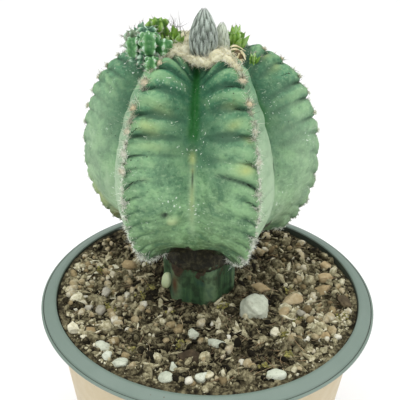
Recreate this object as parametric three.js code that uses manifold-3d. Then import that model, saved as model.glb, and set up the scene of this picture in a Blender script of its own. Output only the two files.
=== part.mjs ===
// A six-ribbed bishop's cap cactus with tortoiseshell ribs, grafted on a short stock in a pot.
// Millimetres, +Z up, origin under the middle of the pot, the side the photograph shows towards -Y.
import * as THREE from "three";
import { mergeVertices } from "three/addons/utils/BufferGeometryUtils.js";
import Module from "manifold-3d";

const wasm = await Module();
wasm.setup();

// Driving dimensions
const GAP = 0.3; // clearance that touching pieces keep

const POT_HEIGHT = 97;
const RIM_RADIUS = 60;
const RIM_INNER_RADIUS = 54.6;
const WALL_TOP_RADIUS = 55.4;
const BASE_RADIUS = 45.8;
const WALL = 1.2;
const LIP_DEPTH = 2.8;
const DRAIN_HOLES = 6;
const DRAIN_RADIUS = 3.5;
const DRAIN_CIRCLE = 31;
const POT_SIDES = 48;

const SOIL_BELOW_RIM = 4.6;
const SOIL_SLOPE = 0.028; // the mix lies lower towards the back right
const SOIL_EDGE_RISE = 3.4; // and higher along the wall
const SOIL_BACK_DIP = 1.5; // except at the back right
const SOIL_RINGS = 12;
const SOIL_SIDES = 48;
const SOIL_LUMPS = 120;
const PEBBLES = 22;

const PLANT_X = -3.2;
const PLANT_Y = 6.1;
const STOCK_RADIUS = 13.6;
const STOCK_RIBS = 6;
const STOCK_TURN = 20; // degrees from the front to the nearest rib of the stock
const STOCK_VISIBLE = 16;
const STOCK_BURIED = 42;

const RIBS = 6;
const RIB_TURN = 25.8; // degrees from the front to the right front rib
const TUBERCLES = 11; // on each rib
const ROWS_PER_TUBERCLE = 3;
const BODY_RADIUS = 40;
const LEAN_BACK = Math.tan(THREE.MathUtils.degToRad(4.2));
const LEAN_LEFT = Math.tan(THREE.MathUtils.degToRad(0.5));
const RELIEF_FROM = 0.17; // share of the rib's length where the tubercles start and end
const RELIEF_TO = 0.86;

// Heights that follow from them
const SOIL_Z = POT_HEIGHT - SOIL_BELOW_RIM;
const UNION_Z = SOIL_Z + STOCK_VISIBLE;

const COLOURS = {
  pot: 0xcfa98a,
  soil: 0x5b4a38,
  skin: 0x4f8a68,
  stock: 0x3f6b58,
  palebud: 0xa9bd84,
  wool: 0xb9a48a,
  silver: 0x9a9a94,
  greybud: 0xa8aa98,
  dried: 0xcdb78e,
  young: 0x5f9a4c,
  bright: 0x7aa83a,
  dark: 0x3c6b45,
  felt: 0xa9b59c,
  white: 0xd6d4c6,
  grey: 0xa39e90,
  tan: 0xb89b76,
  bark: 0x54433a,
};

// Seeded random numbers and smooth wobble
function randomFrom(seed) {
  let state = seed >>> 0;
  return () => {
    state = (state + 0x6d2b79f5) >>> 0;
    let t = state;
    t = Math.imul(t ^ (t >>> 15), t | 1);
    t ^= t + Math.imul(t ^ (t >>> 7), t | 61);
    return ((t ^ (t >>> 14)) >>> 0) / 4294967296;
  };
}

function wobble(x, y, z, seed) {
  const a = Math.sin(x * 1.7 + seed * 1.3 + Math.sin(y * 1.1 + seed));
  const b = Math.sin(y * 1.9 - seed * 0.7 + Math.sin(z * 1.3 - seed));
  const c = Math.sin(z * 1.6 + seed * 2.1 + Math.sin(x * 1.2 + seed * 0.5));
  return (a + b + c) / 3;
}

const smooth = THREE.MathUtils.smoothstep;
const bell = (x, middle, width) => Math.exp(-(((x - middle) / width) ** 2));
const radians = THREE.MathUtils.degToRad;

// A closed skin over rings of points, bottom to top, each ring anticlockwise from above
function skinOver(rings, bottom, top) {
  const count = rings[0].length;
  const corners = [...rings.flat(), bottom, top].flatMap((p) => [p.x, p.y, p.z]);
  const faces = [];
  const low = rings.length * count;
  const high = low + 1;
  for (let j = 0; j < count; j++) {
    const k = (j + 1) % count;
    faces.push(low, k, j);
    for (let i = 0; i + 1 < rings.length; i++) {
      const a = i * count;
      const b = a + count;
      faces.push(a + j, a + k, b + k);
      faces.push(a + j, b + k, b + j);
    }
    const last = (rings.length - 1) * count;
    faces.push(last + j, last + k, high);
  }
  const geometry = new THREE.BufferGeometry();
  geometry.setAttribute("position", new THREE.Float32BufferAttribute(corners, 3));
  geometry.setIndex(faces);
  return geometry;
}

function solidOf(geometry) {
  const bare = geometry.clone();
  bare.deleteAttribute("normal");
  bare.deleteAttribute("uv");
  const merged = mergeVertices(bare, 1e-4);
  const vertProperties = new Float32Array(merged.attributes.position.array);
  const triVerts = new Uint32Array(merged.index.array);
  return new wasm.Manifold(new wasm.Mesh({ numProp: 3, vertProperties, triVerts }));
}

function geometryOf(solid) {
  const { vertProperties, triVerts } = solid.getMesh();
  const geometry = new THREE.BufferGeometry();
  geometry.setAttribute("position", new THREE.BufferAttribute(vertProperties, 3));
  geometry.setIndex(new THREE.BufferAttribute(triVerts, 1));
  return geometry;
}

// The largest body that a cut leaves
function mainBody(solid) {
  return solid.decompose().sort((a, b) => b.volume() - a.volume())[0];
}

const part = new THREE.Group();

function addPiece(name, solid, colour, roughness) {
  const material = new THREE.MeshStandardMaterial({ color: colour, roughness, metalness: 0 });
  const mesh = new THREE.Mesh(geometryOf(mainBody(solid)), material);
  mesh.name = name;
  part.add(mesh);
}

// Pot: tapered wall with a wide sloping lip, a flat base and drain holes
function innerWallRadius(z) {
  const taper = (WALL_TOP_RADIUS - BASE_RADIUS) / (POT_HEIGHT - LIP_DEPTH);
  return BASE_RADIUS - WALL + taper * z;
}

function potSolid() {
  const lipUnder = POT_HEIGHT - LIP_DEPTH;
  const outline = [
    [0, 0],
    [BASE_RADIUS - 1, 0],
    [BASE_RADIUS, 1],
    [WALL_TOP_RADIUS, lipUnder],
    [RIM_RADIUS - 0.4, lipUnder],
    [RIM_RADIUS, lipUnder + 0.5],
    [RIM_RADIUS - 0.1, lipUnder + 1],
    [RIM_RADIUS - 1.2, lipUnder + 1.1],
    [RIM_RADIUS - 1.5, lipUnder + 1.5],
    [RIM_INNER_RADIUS + 0.8, POT_HEIGHT],
    [RIM_INNER_RADIUS, POT_HEIGHT - 0.5],
    [innerWallRadius(lipUnder), lipUnder],
    [innerWallRadius(WALL), WALL],
    [0, WALL],
  ].map(([r, z]) => new THREE.Vector2(r, z));
  const shell = new THREE.LatheGeometry(outline, POT_SIDES).rotateX(Math.PI / 2);
  let pot = solidOf(shell);
  for (let i = 0; i < DRAIN_HOLES; i++) {
    const angle = ((i + 0.5) / DRAIN_HOLES) * Math.PI * 2;
    const hole = new THREE.CylinderGeometry(DRAIN_RADIUS, DRAIN_RADIUS, 4 * WALL, 10);
    hole.rotateX(Math.PI / 2);
    hole.translate(DRAIN_CIRCLE * Math.cos(angle), DRAIN_CIRCLE * Math.sin(angle), 0);
    pot = pot.subtract(solidOf(hole));
  }
  return pot;
}

// Rootstock: a short ribbed column, wide flutes between blunt ribs, tapering to its root end
function stockSolid(grow = 0) {
  const top = UNION_Z - GAP + grow;
  const bottom = SOIL_Z - STOCK_BURIED - grow;
  const heights = [
    [bottom, 0.3],
    [bottom + 10, 0.8],
    [SOIL_Z - 18, 0.97],
    [SOIL_Z - 2, 1],
    [SOIL_Z + 5, 1],
    [UNION_Z - 5, 0.985],
    [top, 0.93],
  ];
  const columns = STOCK_RIBS * 4;
  const rings = heights.map(([z, scale]) =>
    Array.from({ length: columns }, (_, j) => {
      const angle = (j / columns) * Math.PI * 2;
      const wave = Math.abs(Math.cos((STOCK_RIBS * (angle + Math.PI / 2 - radians(STOCK_TURN))) / 2));
      const radius = STOCK_RADIUS * scale * (0.86 + 0.14 * wave ** 1.6) + grow;
      return new THREE.Vector3(PLANT_X + radius * Math.cos(angle), PLANT_Y + radius * Math.sin(angle), z);
    }),
  );
  const low = new THREE.Vector3(PLANT_X, PLANT_Y, bottom);
  const high = new THREE.Vector3(PLANT_X, PLANT_Y, top);
  return solidOf(skinOver(rings, low, high));
}

// Body: outlines of a crest and of a groove, as radius and height above the graft
const CREST = new THREE.SplineCurve(
  [
    [12.6, 0],
    [12.6, 4],
    [19, 7.4],
    [30, 10.2],
    [36.6, 18.9],
    [40, 30],
    [40, 41],
    [38, 51.5],
    [33.8, 61.5],
    [27.5, 68.6],
    [19.5, 72.6],
    [10, 73.6],
    [0, 72.2],
  ].map(([r, z]) => new THREE.Vector2((r * BODY_RADIUS) / 40, z)),
);
const GROOVE = new THREE.SplineCurve(
  [
    [12.2, 0],
    [12.0, 4.5],
    [15.4, 8],
    [22, 10.4],
    [26.4, 16],
    [29, 24],
    [29.6, 32],
    [28, 41],
    [25, 50.5],
    [20.6, 59],
    [15, 65.6],
    [8.6, 69.8],
    [0, 71.6],
  ].map(([r, z]) => new THREE.Vector2((r * BODY_RADIUS) / 40, z)),
);
// Steps from a crest (0) to the next groove (1), and how strong the folds are at each
const FACE_STEPS = [0, 0.13, 0.42, 0.74];
const FOLD_DEPTH = [1.1, 1.2, 1, 0.4, 0];
const FACE_BULGE = 2.6;
const UNDERSIDE_HOLLOW = 2; // how far the faces draw in under the ribs
const UNDERSIDE_ARCH = 3; // how far their lower edge rises between the crests

// Rounded tubercles, each with a sharp notch right under it
function fold(share, rib) {
  const run = (TUBERCLES * (share - RELIEF_FROM)) / (RELIEF_TO - RELIEF_FROM) + (rib % 2) / ROWS_PER_TUBERCLE;
  const along = run - Math.floor(run);
  const inside = smooth(share, RELIEF_FROM - 0.03, RELIEF_FROM + 0.05) * (1 - smooth(share, 0.79, 0.88));
  return inside * (0.4 - Math.abs(1 - 2 * along ** 0.8) ** 2);
}

function bodyPoint(share, rib, side, step, grow) {
  const across = step === FACE_STEPS.length ? 1 : FACE_STEPS[step];
  const crest = CREST.getPointAt(share);
  const groove = GROOVE.getPointAt(share);
  const spread = Math.PI / RIBS;
  const fromCrest = new THREE.Vector2(crest.x, 0);
  const toGroove = new THREE.Vector2(groove.x * Math.cos(spread), groove.x * Math.sin(spread));
  const flat = fromCrest.lerp(toGroove, across);
  const height = THREE.MathUtils.lerp(crest.y, groove.y, across ** 1.3);
  const tangent = CREST.getTangentAt(share).lerp(GROOVE.getTangentAt(share), across).normalize();
  const outward = tangent.y;
  const upward = -tangent.x;
  const below = 1 - smooth(share, 0.86, 1);
  const bulge = FACE_BULGE * smooth(share, 0.25, 0.5) * below * Math.sin(Math.PI * across ** 0.9) ** 1.5;
  const hollow = UNDERSIDE_HOLLOW * bell(share, 0.2, 0.09) * Math.sin(Math.PI * across ** 0.8);
  const arch = UNDERSIDE_ARCH * bell(share, 0.12, 0.1) * smooth(share, 0, 0.06);
  const uneven = 0.35 * smooth(share, 0.05, 0.25) * below * wobble(share * 7, rib * 1.3, across * 2, 4);
  const push = bulge - hollow + FOLD_DEPTH[step] * fold(share, rib) + uneven + grow;
  const turn = Math.atan2(flat.y, Math.max(flat.x, 1e-6));
  const radius = flat.length() + outward * push;
  const z = height + arch * Math.sin((Math.PI / 2) * Math.min(1.6 * across, 1)) + upward * push;
  const angle = radians(RIB_TURN) + rib * 2 * spread + side * turn;
  return new THREE.Vector3(
    PLANT_X - LEAN_LEFT * z + radius * Math.sin(angle),
    PLANT_Y + LEAN_BACK * z - radius * Math.cos(angle),
    UNION_Z + z,
  );
}

function bodyRing(share, grow) {
  const last = FACE_STEPS.length;
  const ring = [];
  for (let rib = 0; rib < RIBS; rib++) {
    for (let step = 0; step < last; step++) ring.push(bodyPoint(share, rib, 1, step, grow));
    const next = (rib + 1) % RIBS;
    for (let step = last; step > 0; step--) ring.push(bodyPoint(share, next, -1, step, grow));
  }
  return ring;
}

const reliefRows = TUBERCLES * ROWS_PER_TUBERCLE;
const BODY_SHARES = [0, 0.035, 0.09, 0.135];
for (let i = 0; i <= reliefRows; i++) {
  BODY_SHARES.push(RELIEF_FROM + ((RELIEF_TO - RELIEF_FROM) * i) / reliefRows);
}
BODY_SHARES.push(0.9, 0.95, 0.98);

function bodySolid(grow = 0) {
  const rings = BODY_SHARES.map((share) => bodyRing(share, grow));
  const low = new THREE.Vector3(PLANT_X, PLANT_Y, UNION_Z - grow);
  rings[0].forEach((p) => (p.z = UNION_Z - grow));
  const crown = bodyPoint(1, 0, 1, 0, 0);
  crown.z += grow;
  return solidOf(skinOver(rings, low, crown));
}

// Crown wool: a felt pad over the growing point, its edge drawn out along the crests
const WOOL_BANDS = [
  [0.98, 1],
  [0.95, 1.2],
  [0.9, 1.3],
  [0.86, 0.9],
];
const WOOL_ALONG_CREST = [0.07, 0.02, 0.01, 0.01, 0.02, 0.06];

function crownWoolSolid() {
  const last = FACE_STEPS.length;
  const edge = WOOL_BANDS.length - 1;
  const ringAt = (band, over) => {
    const [share, thickness] = WOOL_BANDS[band];
    const place = (rib, side, step) => {
      const drawn = band === edge ? WOOL_ALONG_CREST[rib] * [1, 0.7, 0, 0, 0][step] : 0;
      const lump = 0.3 * Math.abs(wobble(share * 40, rib * 2.1 + side * step, step, 8));
      const lift = GAP + 5 * drawn + (over ? thickness + lump : 0);
      return bodyPoint(share - drawn, rib, side, step, lift);
    };
    const ring = [];
    for (let rib = 0; rib < RIBS; rib++) {
      for (let step = 0; step < last; step++) ring.push(place(rib, 1, step));
      for (let step = last; step > 0; step--) ring.push(place((rib + 1) % RIBS, -1, step));
    }
    return ring;
  };
  const under = WOOL_BANDS.map((_, band) => ringAt(band, false));
  const over = WOOL_BANDS.map((_, band) => ringAt(band, true)).reverse();
  const crown = bodyPoint(1, 0, 1, 0, 0);
  const low = crown.clone();
  low.z += GAP;
  crown.z += GAP + WOOL_BANDS[0][1];
  return solidOf(skinOver([...under, ...over], low, crown));
}

// A plain round hole for what stands in the wool
function plug({ at, radius, height }) {
  const room = 1.15 * radius + 2 * GAP;
  const hole = new THREE.CylinderGeometry(room, room, height, 10).rotateX(Math.PI / 2);
  hole.translate(at[0], at[1], at[2] + height / 2);
  return solidOf(hole);
}

// A blunt or pointed bud, its coat of scales raised in spirals
function budSolid({ at, radius, height, tip, lean = [0, 0], scales = 0, coat = 0 }, grow = 0) {
  const rows = scales ? 10 : 6;
  const columns = scales ? 14 : 10;
  const rings = [];
  for (let i = 0; i < rows; i++) {
    const t = i / rows;
    const swell = Math.sqrt(1 - ((t - 0.36) / 0.7) ** 2);
    const taper = 1 - t ** 5 * (1 - tip);
    const ring = [];
    for (let j = 0; j < columns; j++) {
      const raised = (i + j) % 2 ? coat : -coat;
      const r = radius * swell * taper + (i ? raised : 0) + grow;
      const angle = (j / columns) * Math.PI * 2;
      const x = at[0] + lean[0] * t + r * Math.cos(angle);
      const y = at[1] + lean[1] * t + r * Math.sin(angle);
      ring.push(new THREE.Vector3(x, y, at[2] + height * t - (i ? 0 : grow)));
    }
    rings.push(ring);
  }
  const low = new THREE.Vector3(at[0], at[1], at[2] - grow);
  const high = new THREE.Vector3(at[0] + lean[0], at[1] + lean[1], at[2] + height + grow);
  return solidOf(skinOver(rings, low, high));
}

// A young head: a few ribs cut into pointed tubercles
function headSolid({ at, radius, height, ribs, turn, lean = [0, 0], spread = 1 }, grow = 0) {
  const rows = 6;
  const columns = ribs * 4;
  const rings = [];
  for (let i = 0; i < rows; i++) {
    const t = i / rows;
    const dome = (0.72 + 0.28 * Math.sin(Math.PI * t)) * Math.sqrt(1 - t ** 3) * spread ** (t * 2);
    const ring = [];
    for (let j = 0; j < columns; j++) {
      const ridge = [1, 0.86, 0.7, 0.86][j % 4];
      const knob = i % 2 ? 1.08 : 0.93;
      const r = radius * dome * ridge * (j % 4 === 0 ? knob : 1) + grow;
      const angle = (j / columns) * Math.PI * 2 + turn;
      const x = at[0] + lean[0] * t + r * Math.cos(angle);
      const y = at[1] + lean[1] * t + r * Math.sin(angle);
      ring.push(new THREE.Vector3(x, y, at[2] + height * t - (i ? 0 : grow)));
    }
    rings.push(ring);
  }
  const low = new THREE.Vector3(at[0], at[1], at[2] - grow);
  const high = new THREE.Vector3(at[0] + lean[0], at[1] + lean[1], at[2] + height * 0.94 + grow);
  return solidOf(skinOver(rings, low, high));
}

// Heights of crown pieces are given above the graft
const onCrown = (x, y, z) => [x, y, UNION_Z + z];

const HAIRY_BUD = { at: onCrown(-3, 0.8, 70.1), radius: 4.4, height: 16.7, tip: 0.2, scales: 1, coat: 0.2 };
const PALE_BUD = { at: onCrown(2, 4, 70.1), radius: 3, height: 12.2, tip: 0.3, lean: [0.6, 0.6] };
const DRIED_FLOWER = {
  at: onCrown(7.4, 1.4, 70.6),
  radius: 2.7,
  height: 6,
  tip: 0.75,
  lean: [-1.2, 0.4],
  scales: 1,
  coat: 0.3,
};
const STOCK_BUD = { at: [PLANT_X - 11.8, -1.4, SOIL_Z + 3.6], radius: 2, height: 6.2, tip: 0.5 };

// Each young head: its node, place, radius, height, ribs, turn and colour, and what else it needs
function head(name, at, radius, height, ribs, turn, colour, more = {}) {
  return { name, at: onCrown(...at), radius, height, ribs, turn, colour, ...more };
}

const HEADS = [
  head("offset_left_base", [-19.4, 3, 68.6], 6.4, 6.4, 6, 0, "dark"),
  head("offset_left_front", [-19.2, -1.4, 73], 3.3, 7.6, 5, 0.4, "young"),
  head("offset_left_block", [-14.8, -0.6, 71.6], 3, 6.6, 4, 0, "young"),
  head("offset_left_side", [-24, 2, 71.6], 3.1, 6.4, 5, 0, "young"),
  head("offset_left_felted", [-24.4, 7.8, 71], 3.4, 8.2, 6, 0, "felt"),
  head("offset_left_middle", [-20, 4.6, 74.8], 3.2, 6, 5, 0.9, "dark"),
  head("offset_left_point", [-22, 12.6, 71.6], 3.3, 10, 5, 0, "dark", { lean: [-1, -1] }),
  head("offset_left_round", [-17.4, 10, 72.8], 3.6, 9.8, 6, 0, "bright"),
  head("offset_left_spiky", [-11.8, 6.4, 72.8], 3, 9, 5, 0.5, "bright"),
  head("offset_left_low", [-18, -6.6, 68.6], 2.6, 5.8, 5, 0.2, "young"),
  head("offset_right", [6.8, 7.6, 71.6], 3.6, 10.6, 5, 0.3, "bright", { spread: 1.2 }),
  head("offset_right_low", [12.6, 5.2, 68.6], 2, 5, 5, 0, "bright"),
];

function growingPieces() {
  const clear = [bodySolid(GAP)];
  const clearAll = (solid) => clear.reduce((left, other) => left.subtract(other), solid);
  addPiece("cactus_body", bodySolid(), COLOURS.skin, 0.62);

  const buds = [
    ["flower_bud", HAIRY_BUD, COLOURS.silver],
    ["flower_bud_pale", PALE_BUD, COLOURS.greybud],
    ["dried_flower", DRIED_FLOWER, COLOURS.dried],
  ];
  for (const [name, sizes, colour] of buds) {
    addPiece(name, clearAll(budSolid(sizes)), colour, 0.85);
    clear.push(budSolid(sizes, GAP));
  }
  for (const young of HEADS) {
    addPiece(young.name, clearAll(headSolid(young)), COLOURS[young.colour], 0.6);
    clear.push(headSolid(young, GAP));
  }
  const pad = [HAIRY_BUD, PALE_BUD, DRIED_FLOWER, ...HEADS].reduce(
    (left, piece) => left.subtract(plug(piece)),
    crownWoolSolid(),
  );
  // The buds in the middle leave a wide back patch and a small front one
  const [back, front] = pad.decompose().sort((a, b) => b.volume() - a.volume());
  addPiece("crown_wool", back.subtract(clear[0]), COLOURS.wool, 1);
  addPiece("crown_wool_front", front.subtract(clear[0]), COLOURS.wool, 1);

  addPiece("rootstock", stockSolid(), COLOURS.stock, 0.6);
  const stockBud = budSolid(STOCK_BUD).subtract(stockSolid(GAP));
  addPiece("rootstock_bud", stockBud, COLOURS.palebud, 0.6);
}

// Stones: a rough lump with flat facets, its size across, front to back and high
function stoneSolid({ x, y, z, size, turn, seed, detail }, grow = 0) {
  const random = randomFrom(seed);
  const lump = mergeVertices(bareIcosahedron(detail));
  const spots = lump.attributes.position;
  const point = new THREE.Vector3();
  for (let i = 0; i < spots.count; i++) {
    point.fromBufferAttribute(spots, i).normalize();
    const rough = 0.86 + 0.26 * random();
    point.set(
      point.x * ((size[0] / 2) * rough + grow),
      point.y * ((size[1] / 2) * rough + grow),
      point.z * ((size[2] / 2) * rough + grow),
    );
    spots.setXYZ(i, point.x, point.y, point.z);
  }
  lump.rotateZ(turn);
  lump.translate(x, y, z);
  return solidOf(lump);
}

function bareIcosahedron(detail) {
  const geometry = new THREE.IcosahedronGeometry(1, detail);
  geometry.deleteAttribute("normal");
  geometry.deleteAttribute("uv");
  return geometry;
}

// The larger stones, by place from the pot's middle and size
const STONES = [
  ["pumice_1", 16.6, -10.4, 10, 8, 9, "white"],
  ["pumice_2", 3.2, -28.6, 6.2, 5, 5, "white"],
  ["pumice_3", -4.6, -24.2, 4.6, 4.4, 5, "white"],
  ["pumice_4", -2, -47.2, 4.2, 4, 5, "white"],
  ["pumice_5", -34, -33.4, 5.8, 4.2, 3.6, "white"],
  ["pumice_6", -31.6, -38.6, 4, 3.6, 3.4, "white"],
  ["pumice_7", -27.6, -41.6, 6, 4, 4.2, "white"],
  ["pumice_8", -12.6, -48, 5.2, 3.8, 3.4, "white"],
  ["pumice_9", 20.8, -45, 5.8, 4, 3.4, "white"],
  ["pumice_10", -10.4, -43, 3.6, 3.4, 4.4, "white"],
  ["gravel_grey_1", -42, -13.4, 4.8, 4.4, 3.8, "grey"],
  ["gravel_grey_2", -37.4, -15, 4, 4.2, 4.4, "grey"],
  ["gravel_grey_3", -37.2, -3.8, 4, 4, 3.8, "grey"],
  ["gravel_grey_4", 33.4, -12, 4.2, 3.8, 3.8, "grey"],
  ["gravel_grey_5", 41, 21, 3.8, 3.6, 3, "grey"],
  ["gravel_tan_1", 43, 1, 6.6, 5, 4.6, "tan"],
  ["gravel_tan_2", 47, 16.8, 5.6, 4.6, 4.2, "tan"],
  ["gravel_tan_3", 45.6, 8.4, 6.2, 4.4, 4, "tan"],
  ["gravel_tan_4", 31.4, -3.6, 8, 5.2, 4.6, "tan"],
  ["gravel_tan_5", 27.4, -11.6, 4.8, 4.4, 4.4, "tan"],
  ["gravel_tan_6", 38.6, -26.6, 5.4, 4.6, 4.4, "tan"],
  ["gravel_tan_7", -38.8, -26.4, 5, 4.6, 4.4, "tan"],
  ["gravel_tan_8", 20.4, 2.4, 7.6, 5, 4, "tan"],
  ["gravel_tan_9", -31, 15.6, 7, 5, 4, "tan"],
  ["bark_chip_1", 49, -8.4, 5, 8, 2.8, "bark"],
  ["bark_chip_2", -5.4, -37.4, 8, 4.8, 4.4, "bark"],
];

// Height of the potting mix at a place: a gentle slope with lumps of many sizes
const LUMPS = (() => {
  const random = randomFrom(77);
  return Array.from({ length: SOIL_LUMPS }, () => {
    const angle = random() * Math.PI * 2;
    const radius = Math.sqrt(random()) * 53;
    return {
      x: radius * Math.cos(angle),
      y: radius * Math.sin(angle),
      reach: 2.6 + 4.2 * random(),
      height: 0.5 + 1.3 * random(),
    };
  });
})();

function soilHeight(x, y) {
  const slope = -SOIL_SLOPE * (0.6 * x + 0.8 * y);
  let rise = 0;
  for (const lump of LUMPS) {
    const share = 1 - ((x - lump.x) ** 2 + (y - lump.y) ** 2) / lump.reach ** 2;
    if (share > 0) rise = Math.max(rise, lump.height * Math.sqrt(share));
  }
  const edge = smooth(Math.hypot(x, y), 46, 54);
  const near = smooth(Math.hypot(x, y), 34, 53);
  const heap = SOIL_EDGE_RISE - SOIL_BACK_DIP * smooth(x + y, 36, 70);
  const level = SOIL_Z + slope * (1 - 0.8 * near) + heap * near;
  return level + (rise - 0.7) * (1 - 0.75 * edge) + 0.25 * wobble(x / 2, y / 2, 0, 2);
}

function soilSolid() {
  const side = (z) => innerWallRadius(z) * Math.cos(Math.PI / POT_SIDES) - GAP;
  const bottom = WALL + GAP;
  const circle = (radius, height) =>
    Array.from({ length: SOIL_SIDES }, (_, j) => {
      const angle = (j / SOIL_SIDES) * Math.PI * 2;
      const x = radius * Math.cos(angle);
      const y = radius * Math.sin(angle);
      return new THREE.Vector3(x, y, height === null ? soilHeight(x, y) : height);
    });
  const rings = [circle(side(bottom), bottom)];
  const shoulder = side(SOIL_Z - 6);
  rings.push(circle(shoulder, SOIL_Z - 6));
  const outer = Math.min(side(SOIL_Z - 2), RIM_INNER_RADIUS - 2 * GAP);
  for (let i = 0; i < SOIL_RINGS; i++) rings.push(circle(outer * (1 - i / SOIL_RINGS) ** 0.8, null));
  const low = new THREE.Vector3(0, 0, bottom);
  const high = new THREE.Vector3(0, 0, soilHeight(0, 0));
  return solidOf(skinOver(rings, low, high));
}

// Small gravel, half sunk in the mix and part of it
function pebbleSolids(stones) {
  const random = randomFrom(19);
  const placed = [];
  while (placed.length < PEBBLES) {
    const angle = random() * Math.PI * 2;
    const radius = Math.sqrt(random()) * 50;
    const x = radius * Math.cos(angle);
    const y = radius * Math.sin(angle);
    const across = 2.4 + 2 * random();
    const size = [across, across * (0.7 + 0.3 * random()), across * (0.7 + 0.3 * random())];
    const others = [...stones, ...placed];
    const free = others.every((s) => Math.hypot(s.x - x, s.y - y) > (s.size[0] + across) / 2 + 1);
    const clearOfStock = Math.hypot(x - PLANT_X, y - PLANT_Y) > STOCK_RADIUS + across;
    const turn = random() * 3;
    const seed = Math.floor(random() * 1e6);
    if (!free || !clearOfStock) continue;
    placed.push({ x, y, z: soilHeight(x, y) + 0.1 * across, size, turn, seed, detail: 0 });
  }
  return placed.map((pebble) => stoneSolid(pebble));
}

function pottingMix() {
  const stones = STONES.map(([name, x, y, width, depth, height, colour], i) => ({
    name,
    x,
    y,
    z: soilHeight(x, y) + 0.14 * height,
    size: [width, depth, height],
    turn: 0.35 * Math.sin(i * 2.3),
    seed: 300 + i,
    detail: width > 5.7 ? 1 : 0,
    colour,
  }));
  let soil = soilSolid();
  for (const pebble of pebbleSolids(stones)) soil = soil.add(pebble);
  soil = soil.subtract(stockSolid(GAP));
  let above = stockSolid(GAP).add(budSolid(STOCK_BUD, GAP));
  for (const stone of stones) {
    soil = soil.subtract(stoneSolid(stone, GAP));
    addPiece(stone.name, stoneSolid(stone).subtract(above), COLOURS[stone.colour], 0.95);
    above = above.add(stoneSolid(stone, GAP));
  }
  addPiece("soil", soil, COLOURS.soil, 1);
}

addPiece("pot", potSolid(), COLOURS.pot, 0.55);
growingPieces();
pottingMix();

export default part;
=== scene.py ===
import math

import bpy
import numpy as np
from mathutils import Matrix, Vector, noise


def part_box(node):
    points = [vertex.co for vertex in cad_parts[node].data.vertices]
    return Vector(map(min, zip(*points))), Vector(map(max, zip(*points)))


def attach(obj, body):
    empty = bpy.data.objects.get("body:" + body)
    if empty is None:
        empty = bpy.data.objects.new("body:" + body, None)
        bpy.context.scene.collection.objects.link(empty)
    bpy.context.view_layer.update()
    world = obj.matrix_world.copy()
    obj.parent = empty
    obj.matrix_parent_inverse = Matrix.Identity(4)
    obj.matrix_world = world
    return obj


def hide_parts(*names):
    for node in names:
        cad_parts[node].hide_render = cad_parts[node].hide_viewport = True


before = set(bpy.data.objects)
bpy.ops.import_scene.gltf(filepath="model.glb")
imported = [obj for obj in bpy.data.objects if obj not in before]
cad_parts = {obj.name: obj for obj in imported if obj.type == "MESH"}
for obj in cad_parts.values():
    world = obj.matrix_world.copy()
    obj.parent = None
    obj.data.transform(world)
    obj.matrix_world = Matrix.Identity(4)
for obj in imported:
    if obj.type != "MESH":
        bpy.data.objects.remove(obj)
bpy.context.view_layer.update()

bl_info = {
    "name": "Potted bishop's cap cactus",
    "version": (1, 0, 0),
    "blender": (4, 5, 0),
    "location": "3D View > Sidebar > Cactus",
    "description": "Fine pieces and finishes for a grafted six-ribbed cactus in its pot",
    "category": "Object",
}

# Places are worked out in millimetres and become metres in the meshes
MM = 0.001
TURN = 2 * math.pi
GOLDEN_TURN = math.pi * (3 - math.sqrt(5))


def node_box(name):
    """Lowest and highest corner of a node's solid, in millimetres."""
    return (np.array(corner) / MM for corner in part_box(name))


# Pot and potting mix
POT_LOW, POT_HIGH = node_box("pot")
RIM_Z = POT_HIGH[2]
BASE_RADIUS = 45.8
LIP_WIDTH = 5.4
DRAIN_HOLES = 6
DRAIN_CIRCLE = 31
SOIL_Z = RIM_Z - 4.6
SOIL_SLOPE = 0.028
SOIL_EDGE_RISE = 3.4
SOIL_BACK_DIP = 1.5
SOIL_RADIUS = 54.8

# Stock and body
PLANT_X, PLANT_Y = -3.2, 6.1
STOCK_RADIUS = 13.6
STOCK_VISIBLE = 16.0
STOCK_BURIED = 42.0
STOCK_TURN = 20
UNION_Z = SOIL_Z + STOCK_VISIBLE
RIBS = 6
RIB_TURN = 25.8
FRONT_RIBS = (0, 5)
LEAN_BACK = math.tan(math.radians(4.2))
LEAN_LEFT = math.tan(math.radians(0.5))


def smooth(x, low, high):
    """0 below low and 1 above high, with an even bend between them."""
    t = np.clip((np.asarray(x, float) - low) / (high - low), 0, 1)
    return t * t * (3 - 2 * t)


def bell(x, middle, width):
    return np.exp(-(((np.asarray(x, float) - middle) / width) ** 2))


def between_ends(up):
    """0 at both ends of a form, where it closes to a point, and 1 between them."""
    return np.where((up <= 0) | (up >= 1), 0, 1)


def waves(places, size, seed=0.0):
    """Smooth noise from -1 to 1 at places in millimetres, its features about size across."""
    spots = (np.asarray(places, float).reshape(-1, 3) / size + 17.3 * seed).tolist()
    return np.array([noise.noise(p) for p in spots])


def unit(v):
    return v / np.maximum(np.linalg.norm(v, axis=-1, keepdims=True), 1e-12)


# Making meshes


def deselect():
    if bpy.context.object and bpy.context.object.mode != "OBJECT":
        bpy.ops.object.mode_set(mode="OBJECT")
    bpy.ops.object.select_all(action="DESELECT")


def choose(piece):
    deselect()
    piece.select_set(True)
    bpy.context.view_layer.objects.active = piece


def ball(detail):
    """A round form of even triangles, from which stones and pads of felt are made."""
    deselect()
    bpy.ops.mesh.primitive_ico_sphere_add(subdivisions=detail, radius=1)
    return bpy.context.active_object


def corners_of(piece):
    flat = np.empty(len(piece.data.vertices) * 3)
    piece.data.vertices.foreach_get("co", flat)
    return flat.reshape(-1, 3)


def move_corners(piece, places):
    piece.data.vertices.foreach_set("co", np.asarray(places, float).ravel())
    piece.data.update()


def keep_fields(piece, fields):
    for name, values in fields.items():
        layer = piece.data.attributes.new(name, "FLOAT", "POINT")
        layer.data.foreach_set("value", np.asarray(values, np.float32).ravel())


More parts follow.
